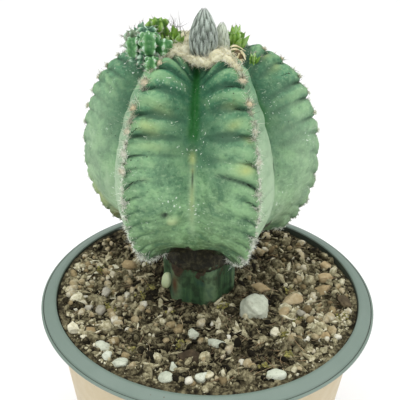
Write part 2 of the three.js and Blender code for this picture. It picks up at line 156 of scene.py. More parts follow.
def close_up(piece):
    """Merges seams and poles, and turns every face outwards."""
    choose(piece)
    bpy.ops.object.mode_set(mode="EDIT")
    bpy.ops.mesh.select_all(action="SELECT")
    bpy.ops.mesh.remove_doubles(threshold=1e-6)
    bpy.ops.mesh.normals_make_consistent(inside=False)
    bpy.ops.object.mode_set(mode="OBJECT")


def wrap(name, columns, rows, place):
    """A grid wrapped into a closed form: place turns shares round and up into places and fields."""
    deselect()
    bpy.ops.mesh.primitive_grid_add(x_subdivisions=columns, y_subdivisions=rows, size=2)
    piece = bpy.context.active_object
    piece.name = piece.data.name = name
    flat = corners_of(piece)
    places, fields = place((flat[:, 0] + 1) / 2, (flat[:, 1] + 1) / 2)
    move_corners(piece, places * MM)
    keep_fields(piece, fields)
    close_up(piece)
    bpy.ops.object.shade_smooth()
    return piece


def mesh_piece(name, places, faces, fields, smoothed=True):
    mesh = bpy.data.meshes.new(name)
    mesh.from_pydata((places * MM).tolist(), [], faces.tolist())
    piece = bpy.data.objects.new(name, mesh)
    bpy.context.scene.collection.objects.link(piece)
    keep_fields(piece, fields)
    if smoothed:
        choose(piece)
        bpy.ops.object.shade_smooth()
    return piece


def form_of(piece):
    """Corners and triangles of a small form that is copied many times; the form itself goes."""
    choose(piece)
    bpy.ops.object.mode_set(mode="EDIT")
    bpy.ops.mesh.select_all(action="SELECT")
    bpy.ops.mesh.quads_convert_to_tris()
    bpy.ops.object.mode_set(mode="OBJECT")
    form = corners_of(piece), np.array([list(face.vertices) for face in piece.data.polygons])
    bpy.data.objects.remove(piece)
    return form


def repeated(name, form, spots, turns, sizes, smoothed=True, **fields):
    """Copies of a form in one mesh, each with its own place, turn and size."""
    corners, faces = form
    grown = corners[None] * np.asarray(sizes)[:, None, :]
    places = np.einsum("nij,nkj->nki", turns, grown) + np.asarray(spots)[:, None, :]
    count, each = places.shape[:2]
    numbered = faces[None] + (np.arange(count) * each)[:, None, None]
    spread = {key: np.repeat(values, each) for key, values in fields.items()}
    return mesh_piece(name, places.reshape(-1, 3), numbered.reshape(-1, 3), spread, smoothed)


def any_turns(random, count):
    """Turns in every direction."""
    q = unit(random.normal(size=(count, 4)))
    w, x, y, z = q.T
    return np.stack(
        [
            np.stack([1 - 2 * (y * y + z * z), 2 * (x * y - w * z), 2 * (x * z + w * y)], -1),
            np.stack([2 * (x * y + w * z), 1 - 2 * (x * x + z * z), 2 * (y * z - w * x)], -1),
            np.stack([2 * (x * z - w * y), 2 * (y * z + w * x), 1 - 2 * (x * x + y * y)], -1),
        ],
        1,
    )


def turns_towards(aims, spin):
    """Turns that set a form's Z along each aim, spun about it."""
    aims = unit(np.asarray(aims, float))
    helper = np.where(np.abs(aims[:, 2:3]) > 0.9, [[1.0, 0, 0]], [[0, 0, 1.0]])
    a = unit(np.cross(helper, aims))
    b = np.cross(aims, a)
    c, s = np.cos(spin)[:, None], np.sin(spin)[:, None]
    return np.stack([a * c + b * s, b * c - a * s, aims], -1)


def hairs(name, roots, aims, lengths, thick, bends, steps=2, **fields):
    """Fine tapering hairs: each leaves its root along its aim and bends aside to a point."""
    roots, aims, bends = (np.asarray(v, float) for v in (roots, aims, bends))
    count = len(roots)
    lengths = np.broadcast_to(lengths, count)[:, None, None]
    thick = np.broadcast_to(thick, count)[:, None, None]
    t = (np.arange(steps) / steps)[None, :, None]
    along = aims[:, None] * t + bends[:, None] * t**2
    centres = roots[:, None] + along * lengths
    heading = unit(aims[:, None] + 2 * bends[:, None] * t)
    helper = np.where(np.abs(heading[..., 2:3]) > 0.9, [1.0, 0, 0], [0, 0, 1.0])
    across = unit(np.cross(helper, heading))
    over = np.cross(heading, across)
    width = thick / 2 * (1 - 0.75 * t**1.5)
    rings = []
    for k in range(3):
        angle = TURN * k / 3
        rings.append(centres + width * (math.cos(angle) * across + math.sin(angle) * over))
    ringed = np.stack(rings, 2).reshape(count, -1, 3)
    tips = roots + (aims + bends) * lengths[:, 0]
    places = np.concatenate([ringed, tips[:, None]], 1)
    faces = [[2, 1, 0]]
    for i in range(steps - 1):
        for k in range(3):
            a, b = 3 * i + k, 3 * i + (k + 1) % 3
            faces += [[a, b, b + 3], [a, b + 3, a + 3]]
    last = 3 * (steps - 1)
    faces += [[last + k, last + (k + 1) % 3, last + 3] for k in range(3)]
    each = places.shape[1]
    numbered = np.array(faces)[None] + (np.arange(count) * each)[:, None, None]
    spread = {key: np.repeat(values, each) for key, values in fields.items()}
    spread["along"] = np.tile(np.append(np.repeat(np.arange(steps) / steps, 3), 1), count)
    return mesh_piece(name, places.reshape(-1, 3), numbered.reshape(-1, 3), spread)


def joined(name, *pieces):
    choose(pieces[0])
    for piece in pieces[1:]:
        piece.select_set(True)
    if len(pieces) > 1:
        bpy.ops.object.join()
    whole = bpy.context.view_layer.objects.active
    whole.name = whole.data.name = name
    return whole


def wear(piece, *materials):
    piece.data.materials.clear()
    for material in materials:
        piece.data.materials.append(material)
    return piece


def settle(piece, slot, *nodes):
    """The finished piece rides on the pot, in place of the plain nodes it stands for."""
    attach(piece, "root")
    if nodes:
        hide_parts(*nodes)
    return piece


# Finishes


def paint(red, green, blue):
    def straight(value):
        share = value / 255
        return share / 12.92 if share <= 0.04045 else ((share + 0.055) / 1.055) ** 2.4

    return (straight(red), straight(green), straight(blue), 1.0)


class Finish:
    """A material and short names for the nodes that it is made of."""

    def __init__(self, name, roughness=0.6, specular=0.4, **sockets):
        self.material = bpy.data.materials.new(name)
        self.material.use_nodes = True
        self.tree = self.material.node_tree
        self.surface = self.tree.nodes["Principled BSDF"]
        self.surface.inputs["Roughness"].default_value = roughness
        self.surface.inputs["Specular IOR Level"].default_value = specular
        for socket, value in sockets.items():
            self.surface.inputs[socket.replace("_", " ")].default_value = value
        self.place = self.node("ShaderNodeTexCoord").outputs["Object"]

    def node(self, kind, inputs=None, **settings):
        node = self.tree.nodes.new(kind)
        for key, value in settings.items():
            setattr(node, key, value)
        for key, value in (inputs or {}).items():
            self.put(node.inputs[key], value)
        return node

    def put(self, socket, value):
        if isinstance(value, bpy.types.NodeSocket):
            self.tree.links.new(value, socket)
        else:
            socket.default_value = value

    def noise(self, size, detail=3.0, roughness=0.55, distortion=0.0, place=None):
        """Noise whose features are about size millimetres across."""
        inputs = {
            "Vector": place or self.place,
            "Scale": 1 / (size * MM),
            "Detail": detail,
            "Roughness": roughness,
            "Distortion": distortion,
        }
        return self.node("ShaderNodeTexNoise", inputs).outputs["Fac"]

    def cells(self, size, place=None):
        """Distance from the middle of cells about size millimetres across."""
        inputs = {"Vector": place or self.place, "Scale": 1 / (size * MM)}
        return self.node("ShaderNodeTexVoronoi", inputs).outputs["Distance"]

    def stretched(self, x, y, z):
        inputs = {"Vector": self.place, "Scale": (x, y, z)}
        return self.node("ShaderNodeMapping", inputs).outputs["Vector"]

    def field(self, name):
        return self.node("ShaderNodeAttribute", attribute_name=name).outputs["Fac"]

    def band(self, value, low, high, start=0.0, end=1.0):
        """From start to end, where a value runs from low to high."""
        inputs = {"Value": value, "From Min": low, "From Max": high, "To Min": start, "To Max": end}
        node = self.node("ShaderNodeMapRange", inputs, interpolation_type="SMOOTHSTEP")
        return node.outputs["Result"]

    def worked_out(self, operation, a, b):
        node = self.node("ShaderNodeMath", operation=operation)
        self.put(node.inputs[0], a)
        self.put(node.inputs[1], b)
        return node.outputs[0]

    def plus(self, a, b):
        return self.worked_out("ADD", a, b)

    def times(self, a, b):
        return self.worked_out("MULTIPLY", a, b)

    def ramp(self, value, *stops):
        node = self.node("ShaderNodeValToRGB", {"Fac": value})
        points = node.color_ramp.elements
        while len(points) < len(stops):
            points.new(0.5)
        for point, (position, colour) in zip(points, stops):
            point.position = position
            point.color = colour
        return node.outputs["Color"]

    def over(self, amount, under, colour):
        """A colour laid over another by an amount from 0 to 1."""
        node = self.node("ShaderNodeMix", data_type="RGBA")
        self.put(node.inputs[0], amount)
        self.put(node.inputs[6], under)
        self.put(node.inputs[7], colour)
        return node.outputs[2]

    def stained(self, under, value, low, high, most, tone):
        """A colour stained with a tone, up to most, where a value runs from low to high."""
        return self.over(self.band(value, low, high, 0, most), under, paint(*tone))

    def done(self, colour, *reliefs, roughness=None):
        """Sets the colour, then each relief as (height, depth in millimetres)."""
        self.put(self.surface.inputs["Base Color"], colour)
        if roughness is not None:
            self.put(self.surface.inputs["Roughness"], roughness)
        normal = None
        for height, depth in reliefs:
            bump = self.node("ShaderNodeBump", {"Height": height, "Distance": depth * MM})
            if normal is not None:
                self.put(bump.inputs["Normal"], normal)
            normal = bump.outputs["Normal"]
        if normal is not None:
            self.put(self.surface.inputs["Normal"], normal)
        return self.material


def skin_finish(settings):
    """Skin: greens that change up the rib, darker low by the neck and high on the ribs as painted
    shade, mottled, with every mark that the fields hold, painted light and shade among them.
    """
    finish = Finish("cactus_skin", roughness=0.62, specular=0.3)
    rise, across, ridge = (finish.field(name) for name in ("rise", "across", "ridge"))
    # Greens up the rib: the dark low stops are painted shade under the body, the darker top green
    # and crown stop painted shade over the upper ribs
    colour = finish.ramp(
        finish.plus(rise, finish.band(finish.noise(14, 3), 0.3, 0.7, -0.05, 0.05)),
        (0.12, paint(46, 62, 34)),
        (0.25, paint(78, 110, 64)),
        (0.38, paint(*settings.low_green)),
        (0.58, paint(*settings.middle_green)),
        (0.76, paint(*settings.top_green)),
        (0.93, paint(44, 96, 68)),
    )
    mottle = finish.noise(3.2, 5, 0.65)
    blotch = finish.noise(7.5, 3, 0.6, 0.4)
    grain = finish.noise(1.1, 4, 0.7, 0.3)
    streaks = finish.noise(2.4, 5, 0.7, 0.8, finish.stretched(0.7, 1.0, 1.2))
    for value, low, high, most, tone in (
        (mottle, 0.5, 0.7, 0.7, (142, 182, 136)),
        (mottle, 0.48, 0.3, 0.78, (40, 88, 60)),
        (blotch, 0.5, 0.66, 0.58, (148, 192, 136)),
        (blotch, 0.5, 0.34, 0.72, (40, 94, 64)),
        (grain, 0.54, 0.7, 0.5, (164, 196, 154)),
        (grain, 0.46, 0.3, 0.55, (44, 86, 58)),
        (streaks, 0.52, 0.68, 0.45, (160, 192, 148)),
        (streaks, 0.47, 0.33, 0.45, (44, 90, 56)),
        # Painted light and shade by the folds: lighter on their bulges, darker in the hollows
        # between them
        (ridge, 0.6, 1.0, 0.55, (138, 178, 128)),
        (ridge, 0.5, 0.0, 0.85, (30, 74, 54)),
    ):
        colour = finish.stained(colour, value, low, high, most, tone)

    # Painted shade: darker towards the grooves high on the ribs, darkest in the upper groove
    inward = finish.times(finish.band(across, 0.3, 0.9, 0, 0.7), finish.band(rise, 0.45, 0.63))
    groove_shade = finish.times(finish.band(across, 0.84, 0.97), finish.band(rise, 0.6, 0.66))
    cloudy = finish.band(finish.noise(5, 4, 0.6), 0.25, 0.6, 0.7, 1.0)
    patchy = finish.band(finish.noise(3, 4), 0.3, 0.6, 0.4, 1)
    specks = finish.band(finish.noise(0.8, 2, 0.5, 0.6), 0.65, 0.7)
    speckled = finish.times(specks, finish.band(finish.noise(9, 2), 0.59, 0.65))
    scratches = finish.noise(1.1, 2, 0.5, 1.5, finish.stretched(0.5, 0.5, 2.2))
    scratched = finish.times(
        finish.band(scratches, 0.68, 0.74), finish.band(finish.noise(12, 1), 0.5, 0.6)
    )
    pits = finish.band(finish.cells(2.3, finish.stretched(1, 1, 1.35)), 0.14, 0.07)
    pitted = finish.times(pits, finish.band(finish.noise(7, 2), 0.56, 0.64))
    for amount, tone in (
        # The first two are painted shade towards and in the grooves
        (inward, (30, 84, 58)),
        (groove_shade, (22, 94, 34)),
        # Pale flanks: pale wax with painted light from the sides
        (finish.times(finish.field("bloom_and_side_light"), cloudy), settings.pale_bloom_and_side_light),
        (finish.field("yellow"), settings.yellow),
        (finish.times(finish.field("brown"), patchy), (96, 92, 44)),
        (speckled, (224, 234, 222)),
        (scratched, (188, 205, 180)),
        (finish.times(finish.field("shade"), 0.62), (40, 88, 62)),
        (pitted, (52, 66, 48)),
        # Scar marks, with painted shade in the notches
        (finish.field("scar"), (24, 34, 24)),
    ):
        colour = finish.over(amount, colour, paint(*tone))

    # The corky neck, very dark: partly corky skin and partly painted shade under the body
    cork_and_shade = finish.ramp(
        finish.noise(1.6, 5, 0.7),
        (0.3, paint(19, 20, 12)),
        (0.5, paint(40, 39, 25)),
        (0.72, paint(86, 83, 58)),
    )
    colour = finish.over(finish.field("cork_and_shade"), colour, cork_and_shade)
    fine = finish.noise(0.9, 4, 0.6)
    return finish.done(colour, (finish.noise(3.5, 4), 0.9), (mottle, 0.5), (fine, 0.22))


def stock_finish():
    """Dark green, partly painted shade under the body, with painted highlights on the ribs,
    clouded, and stained brown from the graft down.
    """
    finish = Finish("stock_skin", roughness=0.55, specular=0.35)
    streak = finish.noise(1.5, 4, 0.6, 0.3, finish.stretched(1, 1, 0.15))
    clouds = finish.noise(6, 3, 0.6)
    # Dark base partly painted shade, as the stock stands under the body; paler rib crests painted
    # highlights
    colour = finish.ramp(streak, (0.3, paint(36, 64, 44)), (0.7, paint(78, 110, 72)))
    colour = finish.stained(colour, finish.field("ridge"), 0.4, 0.95, 0.62, (118, 144, 108))
    colour = finish.stained(colour, clouds, 0.5, 0.64, 0.7, (38, 52, 36))
    colour = finish.stained(colour, clouds, 0.48, 0.36, 0.5, (44, 74, 68))
    colour = finish.over(finish.field("scar"), colour, paint(88, 58, 36))
    brown = finish.ramp(
        finish.noise(1.4, 5, 0.7), (0.3, paint(28, 22, 15)), (0.7, paint(78, 62, 42))
    )
    tongues = finish.band(finish.noise(4.5, 4, 0.6), 0.35, 0.68, -0.12, 0.42)
    reach = finish.plus(finish.field("rise"), tongues)
    colour = finish.over(finish.band(reach, 0.86, 1.06), colour, brown)
    return finish.done(colour, (streak, 0.3), (finish.noise(0.8, 4), 0.15))


def wool_finish(name, *stops, roughness=0.95, shading=0.3):
    """Anything soft or dry: a ramp on each strand's tint, with darker flecks."""
    finish = Finish(name, roughness=roughness, specular=0.1, Sheen_Weight=0.25)
    colour = finish.ramp(finish.field("tint"), *stops)
    flecks = finish.noise(0.7, 4, 0.6)
    colour = finish.stained(colour, flecks, 0.35, 0.65, shading, (96, 82, 66))
    return finish.done(colour, (finish.noise(0.4, 3), 0.1))


def head_finish(name, deep, light, edge, edging):
    """Skin of a young head or shoot: deep between its ribs and light on them, painted shade and
    light by the relief, and downy on them.
    """
    finish = Finish(name, roughness=0.5, specular=0.4)
    ridge = finish.field("ridge")
    # Painted shade between the ribs and painted light on them
    colour = finish.ramp(ridge, (0.1, paint(*deep)), (0.75, paint(*light)))
    mottle = finish.noise(1.0, 4, 0.6)
    colour = finish.stained(colour, mottle, 0.5, 0.75, 0.4, edge)
    edged = finish.times(finish.band(ridge, 0.42, 0.75), edging)
    ragged = finish.times(edged, finish.band(finish.noise(0.9, 4, 0.65), 0.38, 0.55))
    colour = finish.over(ragged, colour, paint(186, 212, 190))
    return finish.done(colour, (mottle, 0.15))


def stone_finish(name, *stops, grain=0.8):
    """Stone: a ramp on each stone's tint, with pits and dirt."""
    finish = Finish(name, roughness=0.9, specular=0.2)
    cloud = finish.band(finish.noise(2.4, 5, 0.65), 0.3, 0.7, -0.2, 0.2)
    colour = finish.ramp(finish.plus(finish.field("tint"), cloud), *stops)
    pits = finish.cells(grain)
    colour = finish.stained(colour, pits, 0.22, 0.05, 0.45, (96, 86, 70))
    colour = finish.stained(colour, finish.noise(3.6, 5, 0.7), 0.56, 0.74, 0.5, (104, 84, 60))
    rough = finish.noise(0.7, 5, 0.7)
    return finish.done(colour, (rough, 0.25), (finish.band(pits, 0.0, 0.25), 0.12))


def soil_finish(name):
    """Peat and crumbs: a ramp from wet black to dry and pale."""
    finish = Finish(name, roughness=0.95, specular=0.15)
    cloud = finish.band(finish.noise(1.6, 5, 0.7), 0.3, 0.7, -0.22, 0.22)
    colour = finish.ramp(
        finish.plus(finish.field("tint"), cloud),
        (0.0, paint(28, 25, 17)),
        (0.2, paint(66, 60, 43)),
        (0.42, paint(124, 117, 90)),
        (0.68, paint(178, 171, 138)),
        (1.0, paint(230, 226, 200)),
    )
    fibre = finish.noise(0.8, 5, 0.7, 0.6, finish.stretched(1, 0.35, 1))
    return finish.done(colour, (fibre, 0.3))


def plastic_finish(name, colour, dust, gloss):
    """Semi-matt plastic, faintly clouded and specked with dust, and unevenly worn."""
    finish = Finish(name, roughness=gloss, specular=0.45)
    shade = finish.stained(paint(*colour), finish.noise(22, 3), 0.35, 0.7, 0.22, dust)
    specks = finish.times(
        finish.band(finish.cells(2.2), 0.12, 0.06),
        finish.band(finish.noise(16, 2), 0.54, 0.64),
    )
    shade = finish.over(specks, shade, paint(92, 84, 66))
    worn = finish.band(finish.noise(5, 5, 0.6), 0.3, 0.75, gloss - 0.08, gloss + 0.14)
    return finish.done(shade, (finish.noise(1.2, 3), 0.03), roughness=worn)


# The body's form


def outline(points):
    """A smooth line through points, with each place's share of the whole length."""
    points = np.array(points, float)
    count = len(points) - 1
    t = np.linspace(0, count, 2401)
    i = np.minimum(t.astype(int), count - 1)
    w = (t - i)[:, None]
    before, here = points[np.maximum(i - 1, 0)], points[i]
    after, beyond = points[i + 1], points[np.minimum(i + 2, count)]
    leave, arrive = (after - before) / 2, (beyond - here) / 2
    line = (2 * here - 2 * after + leave + arrive) * w**3
    line += (3 * after - 3 * here - 2 * leave - arrive) * w**2 + leave * w + here
    steps = np.linalg.norm(np.diff(line, axis=0), axis=1)
    run = np.append(0, np.cumsum(steps))
    return line, run / run[-1]


# Radius and height above the graft, from the neck to the crown
CREST = outline(
    [
        (12.6, 0), (12.6, 4), (19, 7.4), (30, 10.2), (36.6, 18.9), (40, 30), (40, 41),
        (38, 51.5), (33.8, 61.5), (27.5, 68.6), (19.5, 72.6), (10, 73.6), (0, 72.2),
    ]
)
GROOVE = outline(
    [
        (12.2, 0), (12.0, 4.5), (15.4, 8), (22, 10.4), (26.4, 16), (29, 24), (29.6, 32),
        (28, 41), (25, 50.5), (20.6, 59), (15, 65.6), (8.6, 69.8), (0, 71.6),
    ]
)


def on_outline(line, share):
    places, shares = line
    return np.stack([np.interp(share, shares, places[:, k]) for k in (0, 1)], -1)


def way_of_outline(line, share):
    low, high = np.clip(share - 0.002, 0, 1), np.clip(share + 0.002, 0, 1)
    return unit(on_outline(line, high) - on_outline(line, low))


def even_notches(seed):
    """Notches of a rib at the back, evenly set but for small shifts."""
    random = np.random.default_rng(seed)
    steps = np.linspace(0.17, 0.87, 13)
    return steps + random.uniform(-0.009, 0.009, 13)


# Notches between the tubercles of each rib, as shares of the crest's length
NOTCHES = [
    [
        0.15, 0.19, 0.235, 0.29, 0.335, 0.38, 0.43, 0.48, 0.54, 0.615, 0.683, 0.742,
        0.8, 0.85, 0.89,
    ],
    even_notches(1),
    even_notches(2),
    even_notches(3),
    [
        0.15, 0.19, 0.235, 0.294, 0.339, 0.392, 0.465, 0.524, 0.573, 0.62, 0.665, 0.707,
        0.75, 0.79, 0.83,
    ],
    [
        0.17, 0.21, 0.25, 0.3, 0.345, 0.385, 0.425, 0.466, 0.51, 0.55, 0.605, 0.66, 0.727,
        0.8, 0.85, 0.89,
    ],
]
# For each rib's two faces, the one towards the next rib first: how strongly they are folded,
# and how pale they are: part pale wax, part painted light on the flanks lit from the sides
FOLDS = [(0.35, 1.1), (0.9, 0.85), (0.8, 0.8), (0.8, 0.8), (0.45, 0.9), (1.1, 0.35)]
BLOOM_AND_SIDE_LIGHT = [(0.95, 0.14), (0.5, 0.45), (0.4, 0.4), (0.4, 0.4), (0.5, 0.5), (0.14, 0.95)]
FOLD_VARIETY = np.random.default_rng(5).uniform(0.65, 1.25, (RIBS, 2, 20))


def of_face(table, rib, side):
    """The table's value for the face on which each place lies."""
    return np.array([table[r][0 if s > 0 else 1] for r, s in zip(rib, side)])


def fold_line(share, across):
    """The share at the crest of the fold through each place: folds climb on their way inwards."""
    climb = 0.032 * across * (1 - 2 * smooth(share, 0.76, 0.84))
    climb = climb + 0.024 * (1 - np.exp(-across / 0.14)) * (1 - smooth(share, 0.48, 0.6))
    return share - climb


def fold_relief(share, rib, side, across):
    """Height of the folds, and where between its two notches (0 to 1) each place lies."""
    relief = np.zeros(len(share))
    along = np.zeros(len(share))
    line = fold_line(share, across)
    inside = smooth(share, 0.14, 0.27) * (1 - smooth(share, 0.84, 0.91))
    soft = smooth(across, 0.12, 0.45)
    for r in range(RIBS):
        for s, way in enumerate((1, -1)):
            here = (rib == r) & (side == way)
            if not here.any():
                continue
            notches = np.asarray(NOTCHES[r])
            run = np.interp(line[here], notches, np.arange(len(notches)))
            index = np.minimum(run.astype(int), len(notches) - 2)
            part = np.clip(run - index, 0, 1)
            strength = FOLDS[r][s] * FOLD_VARIETY[r, s, index]
            strength = np.maximum(strength, 0.95 * (across[here] < 0.04))
            # A tooth with a sharp notch at the crest turns into a round fold on the face
            sharp = 0.4 - np.abs(1 - 2 * part**0.8) ** 2
            sharp = sharp - 0.4 * np.exp(-((np.minimum(part, 1 - part) / 0.06) ** 2))
            round_fold = -0.12 - 0.48 * np.cos(TURN * part**0.9)
            relief[here] = strength * (sharp * (1 - soft[here]) + round_fold * soft[here])
            along[here] = part
    depth = np.interp(across, [0, 0.13, 0.42, 0.74, 0.95], [1.05, 1.45, 1.4, 0.95, 0])
    depth = depth * (0.8 + 0.35 * smooth(share, 0.5, 0.7))
    # Low down the folds are short and shallow
    low = 1 - smooth(share, 0.5, 0.62)
    short = 1 - 0.78 * smooth(across, 0.14, 0.45) * low
    shallow = 1 - 0.4 * smooth(across, 0.02, 0.1) * low
    return relief * depth * inside * (short * shallow), along


def body_place(share, rib, side, across, grow=0.0, relief=None):
    """Places on the body: share up the rib, across from its crest (0) to the groove (1)."""
    crest, groove = on_outline(CREST, share), on_outline(GROOVE, share)
    spread = math.pi / RIBS
    ahead = crest[:, 0] * (1 - across) + groove[:, 0] * math.cos(spread) * across
    aside = groove[:, 0] * math.sin(spread) * across
    height = crest[:, 1] + (groove[:, 1] - crest[:, 1]) * across**1.3
    part = across[:, None]
    way = unit(way_of_outline(CREST, share) * (1 - part) + way_of_outline(GROOVE, share) * part)
    # Each face bulges half way up, draws in under the rib and arches over the neck
    rounded = smooth(share, 0.25, 0.5) * (1 - smooth(share, 0.86, 1))
    bulge = 2.6 * rounded * np.sin(math.pi * across**0.9) ** 1.5
    bulge = bulge - 2.0 * bell(share, 0.2, 0.09) * np.sin(math.pi * across**0.8)
    arch = 3.0 * bell(share, 0.12, 0.1) * smooth(share, 0, 0.06)
    height = height + arch * np.sin(math.pi / 2 * np.clip(1.6 * across, 0, 1))
    shoulder = 1.6 * (rib == 0) * bell(share, 0.79, 0.05) * (1 - smooth(across, 0.2, 0.9))
    bulge = bulge + shoulder
    if relief is None:
        relief = fold_relief(share, rib, side, across)[0]
    push = bulge + relief + grow
    turn = np.arctan2(aside, np.maximum(ahead, 1e-6))
    radius = np.hypot(ahead, aside) + way[:, 1] * push
    z = height - way[:, 0] * push
    angle = math.radians(RIB_TURN) + rib * TURN / RIBS + side * turn
    return np.stack(
        [
            PLANT_X - LEAN_LEFT * z + radius * np.sin(angle),
            PLANT_Y + LEAN_BACK * z - radius * np.cos(angle),
            UNION_Z + z,
        ],
        -1,
    )


def body_fields(around):
    """Rib, side and share across for shares round the body, thicker set at crests and grooves."""
    run = (np.clip(around, 0, 1) * 2 * RIBS) % (2 * RIBS)
    half = np.minimum(run.astype(int), 2 * RIBS - 1)
    part = run - half
    out = half % 2 == 0
    rib = np.where(out, half // 2, (half + 1) // 2) % RIBS
    side = np.where(out, 1, -1)
    step = np.where(out, part, 1 - part)
    return rib, side, step - 0.08 * np.sin(TURN * step)


def spot(share, across, rib, side, middle, width):
    """A soft round patch on one face, its middle as rib, side, share and across."""
    on = (rib == middle[0]) & (side == middle[1])
    reach = bell(share, middle[2], width[0]) * bell(across, middle[3], width[1])
    return on * reach


# Cracks and creases: rib, side, share and across along the line, widest width in millimetres
CRACKS = [
    (0, -1, (0.48, 0.489, 0.502, 0.515, 0.526), (0.0, 0.06, 0.2, 0.4, 0.6), 0.5),
    (5, 1, (0.468, 0.488, 0.499, 0.503), (0.02, 0.12, 0.26, 0.4), 0.34),
    (0, -1, (0.683, 0.688, 0.69), (0.15, 0.24, 0.33), 0.34),
    (0, -1, (0.742, 0.749, 0.75), (0.22, 0.32, 0.42), 0.3),
    (0, -1, (0.545, 0.556, 0.568), (0.04, 0.14, 0.29), 0.26),
    (5, 1, (0.729, 0.736, 0.741), (0.1, 0.22, 0.36), 0.3),
    (5, 1, (0.612, 0.626, 0.632), (0.05, 0.16, 0.27), 0.24),
    (5, 1, (0.43, 0.447, 0.455), (0.02, 0.12, 0.24), 0.24),
    (0, -1, (0.436, 0.452, 0.46), (0.02, 0.12, 0.26), 0.26),
    (1, -1, (0.72, 0.73, 0.734), (0.2, 0.36, 0.5), 0.34),
    (1, 1, (0.55, 0.56, 0.566), (0.1, 0.22, 0.34), 0.3),
    (3, -1, (0.6, 0.61, 0.614), (0.08, 0.2, 0.34), 0.3),
]
# Cracks that also dent the skin, with the depth
DENTS = ((0, 0.5), (1, 0.4), (2, 0.3), (3, 0.3), (9, 0.3))


def near_crack(share, rib, side, across, number, reach):
    """How near each place lies to a crack, fading past its inner end."""
    r, s, shares, overs, _ = CRACKS[number]
    line = np.interp(across, overs, shares)
    last = overs[-1]
    ends = smooth(across, last + 0.1, last - 0.05) * smooth(across, overs[0] - 0.06, overs[0])
    return (rib == r) * (side == s) * bell(share, line, reach) * ends


def skin_relief(share, rib, side, across):
    """Folds with the skin's roughness, puckers, cracks and one small lump."""
    relief, along = fold_relief(share, rib, side, across)
    plain = body_place(share, rib, side, across, 0, relief)
    rough = 0.4 * waves(plain, 9, 1) + 0.24 * waves(plain, 3.4, 2) + 0.1 * waves(plain, 1.3, 3)
    pucker = 0.26 * waves(plain * [1, 1, 1.8], 2.2, 4) * bell(across, 0, 0.16)
    relief = relief + (rough + pucker) * smooth(share, 0.02, 0.1) * (1 - smooth(share, 0.93, 1))
    corky = 0.7 * waves(plain, 2.6, 31) + 0.3 * waves(plain, 1.0, 32)
    relief = relief + corky * smooth(share, 0.1, 0.05)
    bump = spot(share, across, rib, side, (5, 1, 0.385, 0.725), (0.014, 0.065))
    pit = spot(share, across, rib, side, (5, 1, 0.403, 0.62), (0.01, 0.05))
    relief = relief + 2.0 * bump - 0.9 * pit
    for number, depth in DENTS:
        relief = relief - depth * near_crack(share, rib, side, across, number, 0.006)
    above = near_crack(share - 0.017, rib, side, across, 0, 0.012)
    return relief + 0.55 * above, along, plain, bump, pit


# Yellow and healed patches: rib, side, share, across, strength, and reach both ways
PATCHES = (
    (5, 1, 0.635, 0.35, 0.8, 0.016, 0.14),
    (5, 1, 0.69, 0.42, 0.3, 0.014, 0.2),
    (5, 1, 0.592, 0.4, 0.25, 0.014, 0.25),
    (0, -1, 0.54, 0.22, 1.0, 0.015, 0.15),
    (0, -1, 0.65, 0.34, 0.6, 0.012, 0.12),
    (0, -1, 0.7, 0.3, 0.35, 0.012, 0.16),
    (0, -1, 0.61, 0.1, 0.35, 0.012, 0.1),
    (4, 1, 0.3, 0.1, 0.8, 0.05, 0.2),
    (4, 1, 0.22, 0.3, 0.7, 0.04, 0.3),
    (5, 1, 0.582, 1.0, 0.95, 0.022, 0.05),
    (0, -1, 0.582, 1.0, 0.95, 0.022, 0.05),
    (5, 1, 0.545, 1.0, 0.75, 0.012, 0.03),
    (0, -1, 0.545, 1.0, 0.75, 0.012, 0.03),
    (5, 1, 0.45, 1.0, 0.55, 0.07, 0.035),
    (0, -1, 0.45, 1.0, 0.55, 0.07, 0.035),
    (1, -1, 0.76, 0.4, 0.4, 0.012, 0.16),
    (1, -1, 0.8, 0.3, 0.4, 0.012, 0.16),
    (2, 1, 0.55, 0.3, 0.6, 0.015, 0.15),
    (3, -1, 0.6, 0.35, 0.6, 0.015, 0.15),
)


def yellow_marks(share, rib, side, across, plain, bump):
    yellow = np.zeros(len(share))
    for r, s, middle, over, strength, tall, wide in PATCHES:
        patch = spot(share, across, rib, side, (r, s, middle, over), (tall, wide))
        yellow = np.maximum(yellow, strength * patch)
    return yellow * (0.75 + 0.5 * waves(plain, 3, 6)) + 0.55 * bump


def dark_marks(share, rib, side, across, along, plain):
    """Painted shade: dark lines in the notches, and the soft shade under each fold."""
    notch = np.minimum(along, 1 - along)
    folded = smooth(share, 0.15, 0.2) * (1 - smooth(share, 0.82, 0.88))
    strong = of_face(FOLDS, rib, side)
    near = 1 - smooth(across, 0.06, 0.3 + 0.14 * waves(plain, 8, 7))
    uneven = np.clip(0.5 + 0.9 * waves(plain, 11, 12), 0.05, 1)
    dark = folded * near * np.clip(strong, 0, 1) * bell(notch, 0, 0.07) * 0.42 * uneven
    dark = dark * (0.35 + 0.65 * smooth(share, 0.5, 0.6))
    shade = 1 - smooth(across, 0.15, 0.62 + 0.2 * waves(plain, 9, 14))
    shade = folded * shade * np.exp(-((along / 0.2) ** 2)) * np.clip(strong + 0.25, 0, 1)
    return dark, shade * np.clip(0.75 + 0.8 * waves(plain, 12, 15), 0.1, 1)


